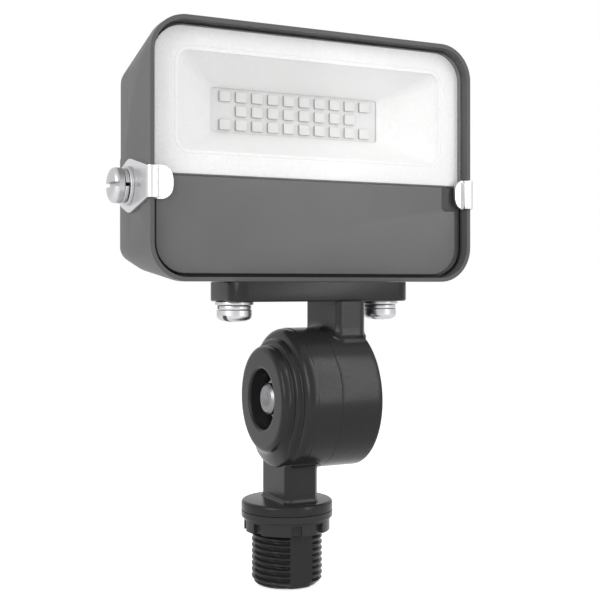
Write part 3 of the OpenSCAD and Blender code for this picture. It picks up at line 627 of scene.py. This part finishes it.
FLANGE_TOP = 3.0
lower_stem = stem(
    centre_x=0.9, width=10.7, depth=18.0, bevel=1.3,
    plate_z=FLANGE_TOP - 0.2, plate_fillet=1.3, drum_fillet=1.2, side=-1,
)

# %% [markdown]
# ## The thread
# The spigot's outside is one surface over the angle and the height. Its radius
# rises and falls with the height plus the angle's share of a turn, which makes
# the helix, and it is flat where the mould parts. A ridge swept along a helix
# could make a thread too, but its runout and its flats would then need booleans.

# %% Flange and threaded spigot
SPIGOT_LEN = -LOWER_LOW[2]
BORE_R = 7.6
CREST_R, ROOT_R = 10.62, 9.5
PITCH = 25.4 / 14
FLAT_AT = 9.9  # how far the flats at the front and back are from the axis
FLAT_START, FLAT_BAND = 0.12, 0.25  # how the thread's surface goes over into a flat
TIP_LEN, TIP_RISE, TIP_CHAMFER = 1.8, 0.35, 0.5  # the plain tip
FLANGE_R = 13.75
NECK_R, NECK_Z = 3.5, 1.8  # the flange closes over the bore to this radius, above this height
UNDER = 0.2  # how far below the flange's underside the threaded surface begins


def thread_radius(angle, z):
    """Root plus a rounded triangle of the phase, which is the height over the pitch
    plus the angle's share of a turn. It is kept flat at the front and back and fades
    out at the plain tip."""
    phase = (z / PITCH + angle / (2 * math.pi)) % 1
    triangle = 1 - np.abs(2 * phase - 1)
    radius = ROOT_R + (CREST_R - ROOT_R) * ease(triangle * 1.5 - 0.2)
    flat = FLAT_AT / np.maximum(np.abs(np.sin(angle)), 0.2)
    near = np.clip((CREST_R + FLAT_START - flat) / FLAT_BAND, 0, 1)
    radius = radius * (1 - near) + np.minimum(flat, CREST_R) * near
    tip = np.clip((z + SPIGOT_LEN) / TIP_LEN, 0, 1)
    return np.minimum(radius, ROOT_R + TIP_RISE + (CREST_R - ROOT_R) * tip**3)


turn = np.linspace(0, 2 * math.pi, 144, endpoint=False)
height = np.linspace(-SPIGOT_LEN + TIP_CHAMFER, -UNDER, 170)[:, None]
threaded = thread_radius(turn, height)
flange_profile = rounded_path(
    [(-UNDER, ROOT_R), (0, ROOT_R), (0, FLANGE_R), (FLANGE_TOP, FLANGE_R), (FLANGE_TOP, NECK_R),
     (NECK_Z, NECK_R), (NECK_Z, BORE_R), (-SPIGOT_LEN, BORE_R)],
    [0, 0.25, 0.9, 0, 0.1, 0.1],
)
around = np.ones_like(turn)
spigot_r = np.vstack([threaded[:1] - TIP_CHAMFER, threaded, flange_profile[1:, 1:] * around])
spigot_z = np.vstack([-SPIGOT_LEN * around, height * around, flange_profile[1:, :1] * around])
spigot_points = np.stack([spigot_r * np.cos(turn), spigot_r * np.sin(turn), spigot_z], -1)
spigot = grid(spigot_points, wrap_rows=True)
make_piece(
    "knuckle_lower_casting", together(lower_drum, lower_stem, spigot),
    knuckle_coat, "base", ["knuckle_lower"],
)

# %% [markdown]
# ## The upper casting
# Its half of the drum is plain. A deeper stem stands on it at the right and
# carries the plate that the head is bolted to. The same functions make it as the
# lower casting, so that both have the same soft edges: a lathe, a stem, and a
# loft of the plate's outline over its rounded edge.

# %% Drum half, stem and plate
UPPER_X = SEAM_X + 0.02
RIGHT_FACE = SEAM_X + 13.6
HALF_UPPER = RIGHT_FACE - UPPER_X
HEAD_RECESS = 8.0
STEM_W, STEM_DEPTH = 9.8, 21.4
PROUD = 0.03  # the stem's right face stands out of the drum's, as they mustn't coincide
PLATE_TOP = UPPER_HIGH[2] - 0.05
PLATE_BOTTOM = node_box("plate_washers")[1][2]
PLATE_T = PLATE_TOP - PLATE_BOTTOM
PLATE_HALF = (UPPER_HIGH[0] - UPPER_LOW[0]) / 2
PLATE_CORNER = 4.8

upper_profile = rounded_path(
    [(0, BOLT_R), (0, DRUM_R), (HALF_UPPER, DRUM_R), (HALF_UPPER, RECESS_R),
     (HALF_UPPER - HEAD_RECESS, RECESS_R), (HALF_UPPER - HEAD_RECESS, BOLT_R)],
    [0.05, 0.9, 0.6, 0.3],
)
upper_drum = on_axis(lathe(denser(upper_profile, 1.0), DRUM_STEPS, wrap_rows=True), UPPER_X)
upper_stem = stem(
    centre_x=RIGHT_FACE - STEM_W / 2 + PROUD, width=STEM_W, depth=STEM_DEPTH, bevel=1.2,
    plate_z=PLATE_BOTTOM + 0.3, plate_fillet=0.4, drum_fillet=2.0, side=1,
)


def plate_ring(inset):
    """The plate's outline, drawn in by an inset."""
    low = (CENTRE_X - PLATE_HALF + inset, -STEM_DEPTH / 2 + inset)
    high = (CENTRE_X + PLATE_HALF - inset, STEM_DEPTH / 2 - inset)
    return rounded_loop(low, high, PLATE_CORNER - inset)


rise, inset = rounded_path([(0, 1.2), (0, 0), (PLATE_T, 0), (PLATE_T, 1.2)], [0.6, 0.3], 4).T
plate = loft([plate_ring(i) for i in inset], PLATE_BOTTOM + rise, upright=False, capped=True)
make_piece(
    "knuckle_upper_casting", together(upper_drum, upper_stem, plate),
    knuckle_coat, "head", ["knuckle_upper"],
)

# %% [markdown]
# ## The bolt that holds the halves
# The 9.5 mm bolt's end shows in the left recess, with a chamfer and a shallow
# centre mark from turning, and its hexagonal head lies in the right one. A
# cylinder and a six-sided one could stand for it, but a lathe profile has the
# mark and the chamfer too. The nut behind its end and the locknut on the spigot
# need no more than small rounded edges, so they are copies of the CAD solids.

# %% Bolt
bolt_low, bolt_high = node_box("knuckle_bolt")
SHANK_R = 4.72
HEX_HALF = 7.15
HEX_T = 6.0
HEX_ROUND = 1.14  # radius at which the corners are cut, as a share of the half width
HEX_POINTS = 96
shank_len = bolt_high[0] - HEX_T - bolt_low[0] + 0.1
shank = lathe(rounded_path(
    [(0.7, 0.01), (0.6, 1.0), (0, 2.4), (0, 3.9), (0.8, SHANK_R), (shank_len, SHANK_R),
     (shank_len, 0.01)],
    [1.2, 1.6, 0.4, 0.3, 0],
), 96)


def hexagon(inset):
    """A hexagon's outline in even steps: half its width over the cosine of the angle
    to the nearest flat, cut at its corners by a circle that the inset draws in."""
    turn = np.linspace(0, 2 * math.pi, HEX_POINTS, endpoint=False)
    to_flat = (turn + math.pi / 6) % (math.pi / 3) - math.pi / 6
    radius = np.minimum(HEX_HALF / np.cos(to_flat), HEX_HALF * HEX_ROUND - inset)
    return np.stack([radius * np.cos(turn), radius * np.sin(turn)], -1)


hex_rings = [(0, 1.0), (0.5, 0.0), (HEX_T - 0.8, 0.0), (HEX_T - 0.1, 1.0)]
hex_points = np.array([
    np.column_stack([np.full(HEX_POINTS, shank_len + rise), hexagon(inset)])
    for rise, inset in hex_rings
])
bolt = on_axis(together(shank, grid(hex_points, capped=True)), bolt_low[0])
make_piece(
    "knuckle_bolt_turned", bolt, bolt_steel, "base", ["knuckle_bolt"]
)
soft_copy("knuckle_nut", 0.3, nut_zinc)
soft_copy("locknut", 0.3, nut_coat)

# %% [markdown]
# ## The head's casting
# The real head is one die casting with cooling fins at its back. It could be
# built again from surfaces, but the CAD shell already has the rim, the taper and
# the fins, so a merged copy gets small rounded edges, as a die casting has.

# %% Housing
soft_copy("housing", 0.35, head_coat)

# %% [markdown]
# ## Window, driver cover and reflector
# The clear pane fills the upper part of the front, and a grey cover hides the
# driver below it. Both are flat plates with fine rounded edges. The cover's front
# layer is notched at its upper corners and ends a little earlier at the right, and
# a darker layer behind it shows there: painted shade, which stands for the shade in
# the notches and along the cover's right edge. The reflector is a white moulding: a
# flange behind the pane and a funnel down to the LED board. Cubes with a bevel could
# make the plates, but a bevel rounds all corners alike, so these pieces are lofts of
# outlines, with a radius of its own for each corner.

# %% Clear pane
CORNER_R = 8.75  # the large corners, which follow the housing's rim
SMALL_R = 0.4  # the corners where pane and cover meet
LENS_T = LENS_HIGH[1] - LENS_LOW[1]


def edge_rows(front, back, radius):
    """Insets and depths of a flat plate's rows: a quarter circle of this radius at its
    front, and then straight to its back."""
    turn_in = np.linspace(0, math.pi / 2, 4)
    inset = np.append(radius * (1 - np.sin(turn_in)), 0.0)
    return inset, np.append(front + radius * (1 - np.cos(turn_in)), back)


lens_radii = np.array([CORNER_R, CORNER_R, SMALL_R, SMALL_R])
insets, depths = edge_rows(LENS_LOW[1], LENS_HIGH[1], 0.35)
pane = loft([
    rounded_loop(LENS_LOW[[0, 2]] + i, LENS_HIGH[[0, 2]] - i, np.maximum(lens_radii - i, 0.05))
    for i in insets
], depths, capped=True)
make_piece("window_pane", pane, lens_clear, "head", ["lens"])

# %% Driver cover with its notches
NOTCH_DEPTH = 1.2
LEFT_NOTCH = (3.6, 6.35)  # width and drop
RIGHT_NOTCH = (7.2, 7.55)
NO_NOTCH = (0.02, 0.02)
RIGHT_END = 2.3  # how much earlier the front layer ends at the right


def cover_outline(inset, notched):
    """The cover's outline: large lower corners, and a step at each upper corner. The
    notched layer also ends earlier at the right, where the layer behind it shows."""
    end = RIGHT_END if notched else 0.0
    x0, x1 = COVER_LOW[0] + inset, COVER_HIGH[0] - end - inset
    z0, z1 = COVER_LOW[2] + inset, COVER_HIGH[2] - inset
    left, left_drop = LEFT_NOTCH if notched else NO_NOTCH
    right, right_drop = (RIGHT_NOTCH[0] - end, RIGHT_NOTCH[1]) if notched else NO_NOTCH
    middle = (x0 + x1) / 2
    corners = [
        (middle, z0), (x1, z0), (x1, z1 - right_drop), (x1 - right, z1 - right_drop),
        (x1 - right, z1), (x0 + left, z1), (x0 + left, z1 - left_drop),
        (x0, z1 - left_drop), (x0, z0), (middle, z0),
    ]
    large = CORNER_R - inset
    small, step = (0.2, 1.5) if notched else (0.0, 0.0)
    radii = [large, small, step, small, small, step, small, large]
    return rounded_path(corners, radii, 8)[:-1]


front_y = COVER_LOW[1]
insets, depths = edge_rows(front_y, front_y + NOTCH_DEPTH, 0.3)
front_layer = loft([cover_outline(i, True) for i in insets], depths, capped=True)
# the back layer shows in the notches and at the right end, painted darker as shade
back_layer = loft(
    [cover_outline(0, False)] * 2, [front_y + NOTCH_DEPTH - 0.02, front_y + LENS_T], capped=True
)
make_piece("cover_plate", front_layer, cover_coat, "head", ["driver_cover"])
make_piece("cover_backing_painted_shade", back_layer, cover_painted_shade_coat, "head", ["driver_cover"])

# %% Reflector
WINDOW_HALF, WINDOW_R = np.array([44.0, 14.35]), 3.6  # half size and corner at the flange
FLOOR_HALF, FLOOR_R = np.array([28.8, 6.8]), 1.0  # the same at the LED board
BOARD_Y = node_box("led_board")[0][1]
REFLECTOR_LOW, REFLECTOR_HIGH = node_box("reflector")
FLANGE_Y = LENS_HIGH[1] + 0.03
FLOOR_Y = BOARD_Y - 0.35
GROOVE = [(1.3, 0.0), (1.15, 0.16), (0.95, 0.16), (0.8, 0.0)]  # outwards from the window, and deep
LIP_R, LIP_TURN = 1.2, 50  # the lip's rounding, and its turn in degrees down to the wall
LIP_WIDE, LIP_DEEP = 0.43, 0.92  # how far in and how deep the wall begins
SHELL = 1.0
led_centre = np.array([CENTRE_X, node_middle("led_board", 2)])


def led_ring(half, radius):
    """A rounded rectangle about the middle of the LED board."""
    return rounded_loop(led_centre - half, led_centre + half, radius, 12)


outer_ring = rounded_loop(
    REFLECTOR_LOW[[0, 2]], REFLECTOR_HIGH[[0, 2]], [CORNER_R, CORNER_R, SMALL_R, SMALL_R], 12
)
funnel = [(WINDOW_HALF + out, WINDOW_R + out, FLANGE_Y + deep) for out, deep in GROOVE]
for a in np.linspace(0, 1, 7) * math.radians(LIP_TURN):
    turned_in = 1 - math.cos(a)
    funnel.append((
        WINDOW_HALF - LIP_R * turned_in, WINDOW_R - 0.3 * turned_in, FLANGE_Y + LIP_R * math.sin(a)
    ))
wall_half, wall_r, wall_y = WINDOW_HALF - LIP_WIDE, 3.5, FLANGE_Y + LIP_DEEP
for s in np.linspace(0.02, 1, 8):
    funnel.append((
        wall_half + (FLOOR_HALF - wall_half) * s, wall_r + (FLOOR_R - wall_r) * s,
        wall_y + (FLOOR_Y - wall_y) * s,
    ))
front_rings = [outer_ring] + [led_ring(half, radius) for half, radius, _ in funnel]
front_depths = [FLANGE_Y] + [depth for _, _, depth in funnel]
back_rings = [
    led_ring(FLOOR_HALF + SHELL, FLOOR_R + 0.8), led_ring(WINDOW_HALF + SHELL, WINDOW_R + 0.8),
    outer_ring,
]
back_depths = [FLOOR_Y, FLANGE_Y + SHELL, FLANGE_Y + SHELL]
make_piece(
    "reflector_moulding",
    loft(front_rings + back_rings, front_depths + back_depths, wrap_rows=True),
    reflector_white, "head", ["reflector"], smooth=30,
)

# %% [markdown]
# ## LED chips
# Twenty-eight small packages sit in three rows, and the middle row lacks its
# first and last. Each has a pale face over side walls painted a darker grey as
# shade, which show as a thin line at its left and at its foot. A picture of chips
# on a flat board could stand for them, but it would lack those walls. A loop places
# them all.

# %% Chips
CHIP = np.array([3.7, 3.2])
CHIP_R = 0.3
PITCH_X, PITCH_Z = 5.38, 4.3
CHIP_H = BOARD_Y - node_box("led_chips")[0][1]
WALL_ROWS = [(1.0, 0.0), (1.0, 0.9), (0.975, 0.97)]  # share of the size and of the height
FACE_ROWS = [(0.97, 0.8), (0.97, 0.98), (0.95, 1.0)]


def chip_surface(centre, rows):
    """One package's walls or face, from rows as shares of its size and height."""
    loops = [
        rounded_loop(centre - CHIP / 2 * s, centre + CHIP / 2 * s, CHIP_R * s, 2) for s, _ in rows
    ]
    return loft(loops, [BOARD_Y - CHIP_H * h for _, h in rows], capped=True)


chip_places = [
    led_centre + np.array([(column - 4.5) * PITCH_X, row * PITCH_Z])
    for row in (-1, 0, 1) for column in range(10)
    if row or 0 < column < 9
]
# the walls carry the darker grey of painted shade, and the faces the pale one
for name, rows, material in (
    ("led_cups", WALL_ROWS, chip_wall_painted_shade), ("led_faces", FACE_ROWS, chip_white)
):
    chips = together(*[chip_surface(place, rows) for place in chip_places])
    make_piece(name, chips, material, "head", ["led_chips"], smooth=20)
print(len(chip_places), "chips")

# %% [markdown]
# ## Side clips
# Each clip is a strip of stainless sheet, bent over the rim. Its middle line is
# a path with three bends, and its half width is a function of the way along
# the path: an ear with two blunt points round the screw, and a rounded tab. A flat
# outline could be bent with a modifier, but each bend would then need its own. The
# Solidify modifier gives the sheet its thickness.

# %% Clips
SHEET = 1.0
CLIP_Z = node_middle("clip_left", 2)
CLIP_SCREW_Y = node_middle("clip_screws", 1)
RIM_W, CLIP_GAP = 1.25, 0.15  # the rim's width in front, and the gap inside it
EAR_HALF, EAR_BLUNT = 8.1, 0.7
TAB_HALF = 4.45
EAR_ROUND, TAB_ROUND = 1.6, 3.8  # rounding of the strip's two ends


def ear_half(y):
    """The ear's half width: one line out from the bend to the screw and one in again
    behind it, with a parabola over the point where they meet."""
    reach = CLIP_SCREW_Y - RIM_Y
    front = TAB_HALF + (EAR_HALF - TAB_HALF) * np.clip((y - RIM_Y) / reach, 0, 1.1)
    back = EAR_HALF - (y - CLIP_SCREW_Y) * 0.33
    mean, gap = (front + back) / 2, np.abs(front - back) / 2
    blunted = mean - (gap**2 + EAR_BLUNT**2) / (2 * EAR_BLUNT)
    return np.where(gap < EAR_BLUNT, blunted, np.minimum(front, back))


def clip_surface(node):
    """The middle surface of a clip: its path from the ear's end to the tab's end, with
    points across the strip all along."""
    low, high = node_box(node)
    side = -1 if low[0] < CENTRE_X else 1
    outer_x = (low[0] if side < 0 else high[0]) - side * SHEET / 2
    inner_x = CENTRE_X + side * (HEAD_HIGH[0] - CENTRE_X - RIM_W - CLIP_GAP - SHEET / 2)
    tab_x = high[0] if side < 0 else low[0]
    front_y, tab_y = RIM_Y - SHEET / 2, LENS_LOW[1] - SHEET / 2
    path = rounded_path(
        [(outer_x, high[1]), (outer_x, front_y), (inner_x, front_y), (inner_x, tab_y), (tab_x, tab_y)],
        [1.0, 0.45, 0.45], 5,
    )
    length = np.concatenate([[0], np.cumsum(np.hypot(*np.diff(path, axis=0).T))])
    s = np.unique(np.concatenate([length, np.linspace(0, length[-1], 140)]))
    x, y = np.interp(s, length, path[:, 0]), np.interp(s, length, path[:, 1])
    ear = (s < length[1]) | (y > RIM_Y + 1)
    half = np.where(ear, ear_half(y), TAB_HALF)
    half = half - swell(s, EAR_ROUND) - swell(length[-1] - s, TAB_ROUND)
    z = CLIP_Z + half[:, None] * np.linspace(-1, 1, 9)
    points = np.stack([
        np.broadcast_to(x[:, None], z.shape), np.broadcast_to(y[:, None], z.shape), z
    ], -1)
    return grid(points, wrap_columns=False)


for node in ("clip_left", "clip_right"):
    clip = make_piece(
        node + "_sheet", clip_surface(node), sheet_steel, "head", [node], smooth=30
    )
    wall = clip.modifiers.new("sheet", "SOLIDIFY")
    wall.thickness = SHEET * 0.98 * MM
    wall.offset = 0.0
    soften(clip, 0.18, 50)

# %% [markdown]
# ## Screws and washers
# Pan-head screws hold the clips and the plate, each on a spring washer and a
# flat washer. A boolean could cut the slot, but it would leave a broken dome. So a
# head is turned up to the slot's floor, and above it are two D-shaped halves with
# the slot between them.

# %% Screw and washer surfaces
HEAD_R, HEAD_H = 5.2, 3.33
DOME_H = 0.25  # how far the dome rises above the head's edge
SLOT_W = 1.4
SLOT_FLOOR = HEAD_H - 1.7


def half_head(profile, sign):
    """One side of the slotted head: at each height an arc of the circle, whose ends
    lie half the slot's width from the middle."""
    along, radius = profile.T
    start = np.arcsin(SLOT_W / 2 / radius)[:, None]
    angle = start + np.linspace(0, 1, 40) * (math.pi - 2 * start)
    y, z = radius[:, None] * np.cos(angle), radius[:, None] * np.sin(angle) * sign
    points = np.stack([np.broadcast_to(along[:, None], y.shape), y, z], -1)
    return grid(points, capped=True)


def pan_head():
    """Side, edge radius and dome of the head, from its seat outwards along X."""
    dome = rounded_path(
        [(0, 0), (0, HEAD_R), (HEAD_H - 0.7, HEAD_R), (HEAD_H, 3.4), (HEAD_H + DOME_H, 0.9)],
        [0.2, 1.5, 1.5], 8,
    )
    along = np.linspace(SLOT_FLOOR, HEAD_H + DOME_H, 24)
    outer = np.interp(along, dome[1:, 0], dome[1:, 1])
    top = np.stack([along, outer], -1)
    base = [(0, 0.01), (0, HEAD_R - 0.2), (0.2, HEAD_R), (SLOT_FLOOR, outer[0]), (SLOT_FLOOR, 0.01)]
    return together(lathe(base, 80), half_head(top, 1), half_head(top, -1))


def plain_washer(radius, hole, thick):
    """A flat ring with small rounded edges."""
    profile = rounded_path(
        [(thick / 2, hole), (0, hole), (0, radius), (thick, radius), (thick, hole), (thick / 2, hole)],
        [0.1, 0.2, 0.2, 0.1], 3,
    )[:-1]
    return lathe(profile, 80, wrap_rows=True)


def split_washer(radius, hole, thick, rise=0.18, cut=6):
    """A square wire wound once: it rises a little with the angle, and its two ends
    stand apart at the cut, each by this angle in degrees."""
    angle = np.linspace(math.radians(cut), math.radians(360 - cut), 72)[:, None]
    section = rounded_loop((0.05, hole), (thick - rise, radius), 0.2, 2)
    along = section[:, 0] + rise * (angle / (2 * math.pi))
    points = np.stack([along, section[:, 1] * np.cos(angle), section[:, 1] * np.sin(angle)], -1)
    return grid(points, capped=True)


# %% Put a stack of washers and a screw on each axis
WASHER_T, SPRING_T = 1.0, 1.4


def screw_stacks(places, out, up, slot_turn):
    """Flat washers, spring washers and screw heads at each place, as three surfaces.
    The slots are turned by an angle from up."""
    flats, springs, heads = [], [], []
    c, s = math.cos(slot_turn), math.sin(slot_turn)
    for place, direction in zip(places, out):
        direction = np.array(direction, float)
        seat = np.array(place, float)
        flats.append(orient(plain_washer(HEAD_R + 0.5, 2.2, WASHER_T), seat, direction, up))
        seat = seat + direction * WASHER_T
        springs.append(orient(split_washer(HEAD_R - 0.15, 2.4, SPRING_T), seat, direction, up))
        seat = seat + direction * SPRING_T
        across = np.cross(up, direction)
        heads.append(orient(pan_head(), seat, direction, np.array(up) * c + across * s))
    return together(*flats), together(*springs), together(*heads)


side_out = [(-1, 0, 0), (1, 0, 0)]
side_seats = [
    (HEAD_LOW[0] - SHEET, CLIP_SCREW_Y, CLIP_Z), (HEAD_HIGH[0] + SHEET, CLIP_SCREW_Y, CLIP_Z)
]
screw_low, screw_high = node_box("plate_screws")
screw_y = node_middle("plate_screws", 1)
plate_seats = [
    (screw_low[0] + HEAD_R, screw_y, PLATE_BOTTOM), (screw_high[0] - HEAD_R, screw_y, PLATE_BOTTOM)
]
for prefix, seats, out, up, slot_turn in (
    ("clip", side_seats, side_out, (0, 0, 1), 0.0),
    ("plate", plate_seats, [(0, 0, -1)] * 2, (0, 1, 0), 0.6),
):
    made = screw_stacks(seats, out, up, slot_turn)
    for kind, surface in zip(("washers", "spring_washers", "screws"), made):
        node = f"{prefix}_{kind}"
        make_piece(node + "_turned", surface, screw_steel, "head", [node], 40)

# %% [markdown]
# ## Inner and small pieces
# Seals, boards and the driver's parts lie inside, where hardly any of them is
# seen. Surfaces of their own would add nothing, so they keep their CAD solids and
# get a finish.

# %% Finish the pieces that stay as the CAD has them
KEPT = {
    "lens_gasket": rubber, "plate_gasket": rubber, "wire_grommet": rubber, "knuckle_seal": rubber,
    "led_board": board_white, "led_board_screws": screw_steel, "led_leads": lead_red,
    "driver_board": board_green, "driver_transformer": ferrite, "driver_capacitors": sleeve,
    "driver_choke": copper, "driver_terminals": terminal_green, "driver_screws": screw_steel,
    "knuckle_washer": screw_steel,
}
for node, material in KEPT.items():
    paint(nodes[node].data, material)
print("kept nodes:", len(KEPT))

# %% [markdown]
# ## Studio
# The light stands on its spigot over a pale floor. A wide lamp at the left makes
# the head's side lighter than its front. A tall strip at the front right gives
# the drum its band and lights the window. The background is white for the
# camera, in reflections and through glass, and dimmer as a light: an evenly white
# room would do without lamps, but then no side would be darker than another.

# %% Floor and world
WHITE = (1, 1, 1, 1)
FLOOR_REACH = 0.7
FLOOR_GAP = 0.0005
WORLD_LIGHT = 0.45  # the background's strength as a light


def seen_rays(tree):
    """1 for rays that come from the camera, by reflection or through glass, else 0."""
    rays = add(tree, "ShaderNodeLightPath", {}).outputs
    seen = rays["Is Camera Ray"]
    for kind in ("Is Glossy Ray", "Is Transmission Ray"):
        seen = add(tree, "ShaderNodeMath", {0: seen, 1: rays[kind]}, operation="MAXIMUM").outputs[0]
    return seen


def floor_material():
    """Pale matt floor that shows white to the camera except in the object's shadow."""
    material = bpy.data.materials.new("studio_floor")
    material.use_nodes = True
    tree = material.node_tree
    tree.nodes.clear()
    matt = add(tree, "ShaderNodeBsdfDiffuse", {"Color": srgb("E6E6E6")})
    glow = add(tree, "ShaderNodeEmission", {"Color": WHITE, "Strength": 0.7})
    both = add(tree, "ShaderNodeAddShader", {0: matt.outputs[0], 1: glow.outputs[0]})
    mixed = add(tree, "ShaderNodeMixShader", {
        0: seen_rays(tree), 1: matt.outputs[0], 2: both.outputs[0]
    })
    add(tree, "ShaderNodeOutputMaterial", {"Surface": mixed.outputs[0]})
    return material


corners = np.array([[-1, -1, 0], [1, -1, 0], [1, 1, 0], [-1, 1, 0]]) * FLOOR_REACH
corners[:, 2] = cad_low[2] - FLOOR_GAP
floor_mesh = bpy.data.meshes.new("floor")
floor_mesh.from_pydata(corners.tolist(), [], [[0, 1, 2, 3]])
floor_mesh.materials.append(floor_material())
floor = bpy.data.objects.new("floor", floor_mesh)
scene.collection.objects.link(floor)

world = bpy.data.worlds.new("studio")
scene.world = world
world.use_nodes = True
tree = world.node_tree
tree.nodes.clear()
strength = add(tree, "ShaderNodeMapRange", {
    "Value": seen_rays(tree), "To Min": WORLD_LIGHT, "To Max": 1.0
})
background = add(tree, "ShaderNodeBackground", {
    "Color": WHITE, "Strength": strength.outputs["Result"]
})
add(tree, "ShaderNodeOutputWorld", {"Surface": background.outputs[0]})
print("the floor lies at z =", round(corners[0, 2] / MM, 1), "mm")


# %% Lamps
LAMP_DISTANCE = 0.95


def lamp(name, direction, width, height, power):
    """A rectangular area lamp that faces the object's middle from a direction. Its
    height lies in a plane across the drum's axis, so that its reflection runs round it."""
    outwards = Vector(direction).normalized()
    upwards = Vector((0, outwards.z, -outwards.y)).normalized()
    turned = Matrix((upwards.cross(outwards), upwards, outwards)).transposed()
    light = bpy.data.lights.new(name, "AREA")
    light.shape = "RECTANGLE"
    light.size, light.size_y = width, height
    light.energy = power
    made = bpy.data.objects.new(name, light)
    made.location = Vector((cad_low + cad_high) / 2) + outwards * LAMP_DISTANCE
    made.rotation_euler = turned.to_euler()
    scene.collection.objects.link(made)
    print(f"{name}: {width} by {height} m, {power} W")


lamp("front_strip", (0.5, -0.74, 0.45), width=0.13, height=1.3, power=5.0)
lamp("left_key", (-0.84, -0.36, 0.34), width=0.4, height=0.6, power=4.9)

# %% [markdown]
# ## Camera
# The camera looks level, from 26 degrees to the left of the light's front. The
# horizon lies a little above the picture's middle, which the shift sets. A tilt
# could do that too, but then upright edges would no longer be parallel.

# %% Camera
FRAME_PX = 600
FOCAL_PX = 1080
HORIZON_PX = 285
SENSOR = 36.0
CAMERA_PLACE = (-0.1405, -0.2945, 0.0674)
CAMERA_TURN = -26.2
camera_data = bpy.data.cameras.new("camera")
camera_data.sensor_width = SENSOR
camera_data.lens = FOCAL_PX * SENSOR / FRAME_PX
camera_data.shift_y = (HORIZON_PX - FRAME_PX / 2) / FRAME_PX
camera_data.clip_start = 0.01
camera = bpy.data.objects.new("camera", camera_data)
camera.location = CAMERA_PLACE
camera.rotation_euler = (math.radians(90), 0, math.radians(CAMERA_TURN))
scene.collection.objects.link(camera)
scene.camera = camera
print("focal length:", round(camera_data.lens, 1), "mm")
